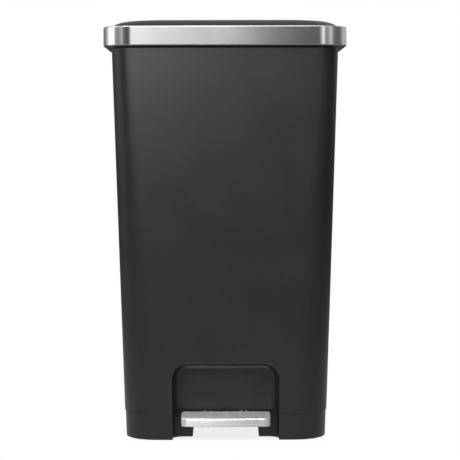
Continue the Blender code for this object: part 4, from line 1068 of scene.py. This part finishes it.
def axle_pieces():
    low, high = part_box("lever_axle")
    finished(bar("axle", Vector((low.x, PIVOT.y, PIVOT.z)), Vector((high.x, PIVOT.y, PIVOT.z)),
            AXLE_DIAMETER, 0.0006), "lever_axle_rod", ["lever_axle"], "root", "zinc_steel")
    bore = AXLE_DIAMETER / 2 + TOUCH_GAP
    for name, side in SIDES:
        cheek = LEVER_HALF + 0.004
        start = PIVOT + X_AXIS * side * (cheek - TOUCH_GAP - 0.0012)
        way = X_AXIS * side
        length = 0.004 + 0.0015 + TOUCH_GAP
        bush = turned("bush", start, way, [(0.0003, 0.0062), (0, 0.0065), (0.0009, 0.0065), (0.0012,
                0.0062), (0.0012, 0.0045), (length - 0.0004, 0.0045), (length, 0.0041), (length, bore), (0,
                bore), (0, 0.0059)], ring=True)
        finished(bush, "pivot_bush_" + name, ["axle_bush_" + name], "root", "white_nylon")
        clip = turned("clip", PIVOT + way * (cheek + 0.004 + 0.0012), way, [(0, 0.0056), (0.0002, 0.0058),
                (0.0008, 0.0058), (0.001, 0.0056), (0.001, bore), (0, bore)], ring=True)
        cut(clip, block("gap", (-0.1, PIVOT.y - 0.0012, PIVOT.z - 0.01), (0.1, PIVOT.y + 0.0012, PIVOT.z)))
        finished(clip, "retaining_clip_" + name, ["axle_clip_" + name], "root", "zinc_steel")
        low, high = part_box("hinge_pin_" + name)
        finished(bar("pin", Vector((low.x, HINGE.y, HINGE.z)), Vector((high.x, HINGE.y, HINGE.z)),
                PIN_DIAMETER, 0.0005), "lid_hinge_pin_" + name, ["hinge_pin_" + name], "root", "zinc_steel")


# ---------------------------------------------------------------- pedal
def pedal_loop(inset, height, front_corner=0.012):
    """The pedal's outline drawn in by an inset. The height rule takes a point's y."""
    half_x = PEDAL_WIDTH / 2 - inset
    front = PEDAL_FRONT + inset
    back = PEDAL_BACK - inset
    loop = []
    for way, centre_y, corner, start in ((1, back, 0.007, 0), (-1, back, 0.007, 90), (-1, front,
            front_corner, 180), (1, front, front_corner, 270)):
        radius = max(corner - inset, 0.0012)
        x = way * (half_x - radius)
        y = centre_y + (radius if centre_y == front else -radius)
        for step in range(CORNER_STEPS + 1):
            turn = math.radians(start + 90 * step / CORNER_STEPS)
            px = x + radius * math.cos(turn)
            py = y + radius * math.sin(turn)
            loop.append((px, py))
        if start == 180:
            run = 2 * (half_x - radius)
            loop += [(run * step / FRONT_STEPS - run / 2, front) for step in range(1, FRONT_STEPS)]
    centre = (PEDAL_FRONT + PEDAL_BACK) / 2
    bowed = []
    for px, py in loop:
        share = max(0.0, (centre - py) / (centre - PEDAL_FRONT))
        py += PEDAL_BOW * share * (px * 2 / PEDAL_WIDTH) ** 2
        bowed.append((px, py, height(py)))
    return bowed


def sloping(drop):
    return lambda y: PEDAL_FRONT_HEIGHT + (y - PEDAL_FRONT) * PEDAL_SLOPE - drop


def level(z):
    return lambda y: z


def pedal_pieces():
    sheet = PEDAL_SHEET
    lip = PEDAL_LIP_FOOT
    roll = 0.0026
    loops = [pedal_loop(roll + sheet, sloping(sheet)), pedal_loop(sheet + 0.0006, sloping(sheet + 0.0008)),
            pedal_loop(sheet, sloping(0.0030)), pedal_loop(sheet, level(lip + 0.0002)),
            pedal_loop(sheet * 0.7, level(lip)), pedal_loop(0.0002, level(lip + 0.0003)), pedal_loop(0.0,
            level(lip + 0.0008))]
    for step in range(9):
        turn = math.radians(90 * step / 8)
        loops.append(pedal_loop(roll * (1 - math.cos(turn)), sloping(roll * (1 - math.sin(turn)))))
    plate = lofted("plate", loops)
    gate = LEVER_HALF + 0.001
    cut(plate, block("gate", (-gate, PEDAL_BACK - 0.003, lip - 0.01), (gate, PEDAL_BACK + 0.01, PIVOT.z)))
    store_across(plate, lambda point: point.y - point.z)
    finished(plate, "pedal_plate", ["pedal_cover"], "pedal", "brushed_steel", sharp=50, finish=PEDAL_FINISH)
    PEDAL_STEEL.objects.link(plate)
    inner = sheet + TOUCH_GAP
    core = lofted("core", [pedal_loop(inner + 0.0005, level(lip + 0.001)), pedal_loop(inner,
            level(lip + 0.0015)), pedal_loop(inner, sloping(0.0034)), pedal_loop(inner + roll,
            sloping(inner))])
    slot_half = LEVER_HALF + 0.0005
    nose = PEDAL_FRONT - PIVOT.y + 0.0075
    cut(core, tilted(block("slot", (-slot_half, nose, -LEVER_DROP - LEVER_PLATE - TOUCH_GAP), (slot_half,
            nose + 0.1, -LEVER_DROP + TOUCH_GAP))))
    for place, side in SIDES:
        spot = middle("pedal_screw_" + place)
        head = lip + 0.0032
        cut(core, drill(above(spot, lip - 0.002), above(spot, head + 0.0115), SCREW_BORE), bar("seat",
                above(spot, lip - 0.002), above(spot, head), 0.0076, 0.0))
        x = sorted((side * (slot_half + 0.006), side * (PEDAL_WIDTH / 2 - 0.006)))
        cut(core, block("pocket", (x[0], PEDAL_FRONT + 0.006, lip - 0.002), (x[1], PEDAL_BACK - 0.006,
                lip + 0.006)))
    finished(core, "pedal_block", ["pedal_core"], "pedal", "black_plastic", bevel=0.0003)


# ---------------------------------------------------------------- at the mouth
def mouth_pieces():
    foot = LEDGE_TOP + TOUCH_GAP
    for name, _ in SIDES:
        low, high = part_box("lid_bumper_" + name)
        centre = (low + high) / 2
        radius = (high.x - low.x) / 2
        bumper = turned("bumper", above(centre, low.z), Z_AXIS, softened([(0, radius * 0.3), (0, radius),
                (high.z - low.z, radius), (high.z - low.z, radius * 0.3)], 0.0005))
        finished(bumper, "soft_bumper_" + name, ["lid_bumper_" + name], "root", "black_rubber")
    flange = 0.006
    down = 0.024
    sheet = 0.002
    gap = 0.0005
    profile = [(-gap, -down), (-gap, -0.0012), (0.0002, -0.0004), (0.0007, 0.0), (flange, 0.0), (flange,
            0.0006), (flange, sheet - 0.0003), (flange - 0.0006, sheet), (-gap - 0.0006, sheet),
            (-gap - 0.0016, sheet - 0.0003), (-gap - sheet, sheet - 0.0012), (-gap - sheet, -down + 0.0004),
            (-gap - sheet / 2, -down)]
    hoop = lofted("hoop", [mouth_loop(grow, foot + rise) for grow, rise in profile], ring=True)
    finished(hoop, "bag_hoop", ["bag_ring"], "root", "grey_plastic")


body_moulding()
base_moulding()
rubber_feet()
rear_panel()
rim_pieces()
lid_dome()
inner_lid()
crank_lug()
push_rod()
damper()
lever_pressing()
axle_pieces()
pedal_pieces()
mouth_pieces()
screws()


# ---------------------------------------------------------------- studio
def floor():
    ground = mesh_object("floor", [(-6, -6, 0), (6, -6, 0), (6, 6, 0), (-6, 6, 0)], [(0, 1, 2, 3)])
    material = bpy.data.materials.new("pale_floor")
    material.use_nodes = True
    tree = material.node_tree
    tree.nodes.remove(tree.nodes["Principled BSDF"])
    light = node(tree, "LightPath")
    place = node(tree, "TexCoord").outputs["Object"]
    # Painted shadow: to the camera the floor glows white, dimmed to 0.84 within the body's footprint as the
    # shade under the can.
    reach = node(tree, "VectorMath", {0: place, 1: (2 / BODY_WIDTH, 2 / BODY_DEPTH, 1.0)},
            operation="MULTIPLY")
    sides = node(tree, "SeparateXYZ", {0: node(tree, "VectorMath", {0: reach.outputs[0]},
            operation="ABSOLUTE").outputs[0]})
    out = maths(tree, "MAXIMUM", sides.outputs["X"], sides.outputs["Y"])
    camera_glow_with_painted_shadow = node(tree, "Emission", {"Color": (1, 1, 1, 1), "Strength": spread(tree, out, 0.65, 0.92, 0.84,
            1.0)})
    # Painted light: to all other rays the floor glows as a pool of light, 0.42 near the can fading to 0.10
    # far off, in place of light bounced from the floor.
    distance = node(tree, "VectorMath", {0: place}, operation="LENGTH")
    painted_light_pool = spread(tree, distance.outputs["Value"], 0.5, 2.2, 0.42, 0.10)
    floor_glow_painted_light = node(tree, "Emission", {"Color": (1, 1, 1, 1), "Strength": painted_light_pool})
    both = node(tree, "MixShader", {0: light.outputs["Is Camera Ray"], 1: floor_glow_painted_light.outputs[0], 2: camera_glow_with_painted_shadow.outputs[0]})
    clear = node(tree, "BsdfTransparent")
    back = node(tree, "NewGeometry").outputs["Backfacing"]
    final = node(tree, "MixShader", {0: back, 1: both.outputs[0], 2: clear.outputs[0]})
    tree.links.new(final.outputs[0], tree.nodes["Material Output"].inputs["Surface"])
    ground.data.materials.append(material)


def softbox(name, azimuth, elevation, distance, width, height, radiance, target=(0, 0, 0.4), only=None):
    """A soft panel light, round the object by azimuth from the front, towards +X."""
    lamp = bpy.data.lights.new(name, "AREA")
    lamp.shape = "RECTANGLE"
    lamp.size = width
    lamp.size_y = height
    lamp.energy = radiance * math.pi * width * height
    holder = bpy.data.objects.new(name, lamp)
    bpy.context.scene.collection.objects.link(holder)
    turn = math.radians(azimuth)
    rise = math.radians(elevation)
    aim = Vector(target)
    holder.location = aim + distance * Vector((math.sin(turn) * math.cos(rise),
            -math.cos(turn) * math.cos(rise), math.sin(rise)))
    holder.rotation_euler = (aim - holder.location).to_track_quat("-Z", "Y").to_euler()
    holder.visible_camera = False
    if only:
        holder.light_linking.receiver_collection = only


def surround():
    """White to the eye, and a studio of soft vertical panels to the lights' paths."""
    world = bpy.data.worlds.new("studio")
    bpy.context.scene.world = world
    world.use_nodes = True
    tree = world.node_tree
    tree.nodes.remove(tree.nodes["Background"])
    way = node(tree, "SeparateXYZ", {0: node(tree, "TexCoord").outputs["Generated"]})
    front = maths(tree, "MULTIPLY", way.outputs["Y"], -1.0)
    turn = maths(tree, "ARCTAN2", way.outputs["X"], front)
    place = maths(tree, "MULTIPLY_ADD", turn, 0.5 / math.pi, 0.5)
    panels = node(tree, "ValToRGB", {0: place})
    ramp = panels.color_ramp
    ramp.interpolation = "LINEAR"
    stops = ((-180, 0.5), (-150, 0.35), (-132, 0.3), (-112, 1.3), (-98, 3.0), (-84, 2.6), (-73, 0.7), (-63,
            0.45), (-55, 0.6), (-46, 0.95), (-37, 0.3), (-25, 0.12), (-17, 0.25), (-10, 1.9), (-5, 1.95),
            (-2.6, 1.4), (0.4, 1.3), (2.0, 0.58), (3.6, 0.2), (12, 0.24), (18, 0.7), (27, 1.9), (35, 0.6),
            (43, 0.5), (52, 0.9), (59, 1.1), (68, 0.4), (77, 0.25), (98, 0.2), (112, 0.5), (126, 0.8), (180,
            0.5))
    while len(ramp.elements) < len(stops):
        ramp.elements.new(0.5)
    for element, (angle, strength) in zip(ramp.elements, stops):
        element.position = angle / 360 + 0.5
        element.color = (strength, strength, strength, 1)
    rise = spread(tree, way.outputs["Z"], -0.02, 0.03, 0.0, 1.0)
    strength = maths(tree, "MULTIPLY", panels.outputs[0], rise)
    studio = node(tree, "Background", {"Strength": strength})
    white = node(tree, "Background", {"Color": (1, 1, 1, 1), "Strength": 1.0})
    light = node(tree, "LightPath")
    both = node(tree, "MixShader", {0: light.outputs["Is Camera Ray"], 1: studio.outputs[0],
            2: white.outputs[0]})
    tree.links.new(both.outputs[0], tree.nodes["World Output"].inputs["Surface"])


def camera():
    lens = bpy.data.cameras.new("camera")
    lens.lens = 138.4
    lens.sensor_width = 36.0
    lens.clip_end = 30.0
    holder = bpy.data.objects.new("camera", lens)
    bpy.context.scene.collection.objects.link(holder)
    holder.location = (0.0, -3.2, 0.527)
    aim = Matrix.Rotation(math.radians(-0.15), 4, "Z") @ Matrix.Rotation(math.radians(90 - 3.0), 4, "X")
    holder.rotation_euler = (aim @ Matrix.Rotation(math.radians(-0.12), 4, "Z")).to_euler()
    bpy.context.scene.camera = holder


floor()
surround()
softbox("left_panel", -23, 14, 2.4, 1.8, 1.2, 4.2, (0, 0, 0.64), MOULDED)
softbox("right_panel", 23, 14, 2.4, 1.8, 1.2, 0.7, (0, 0, 0.64), MOULDED)
softbox("top_panel", -20, 62, 2.2, 1.6, 1.0, 2.5)
softbox("pedal_panel", -18, 14, 1.6, 0.9, 0.8, 5.0, (0, -0.16, 0.04), PEDAL_STEEL)
softbox("pedal_top_panel", -8, 65, 1.0, 0.5, 0.5, 8.0, (0, -0.16, 0.04), PEDAL_STEEL)
camera()
bpy.context.scene.view_settings.view_transform = "Standard"
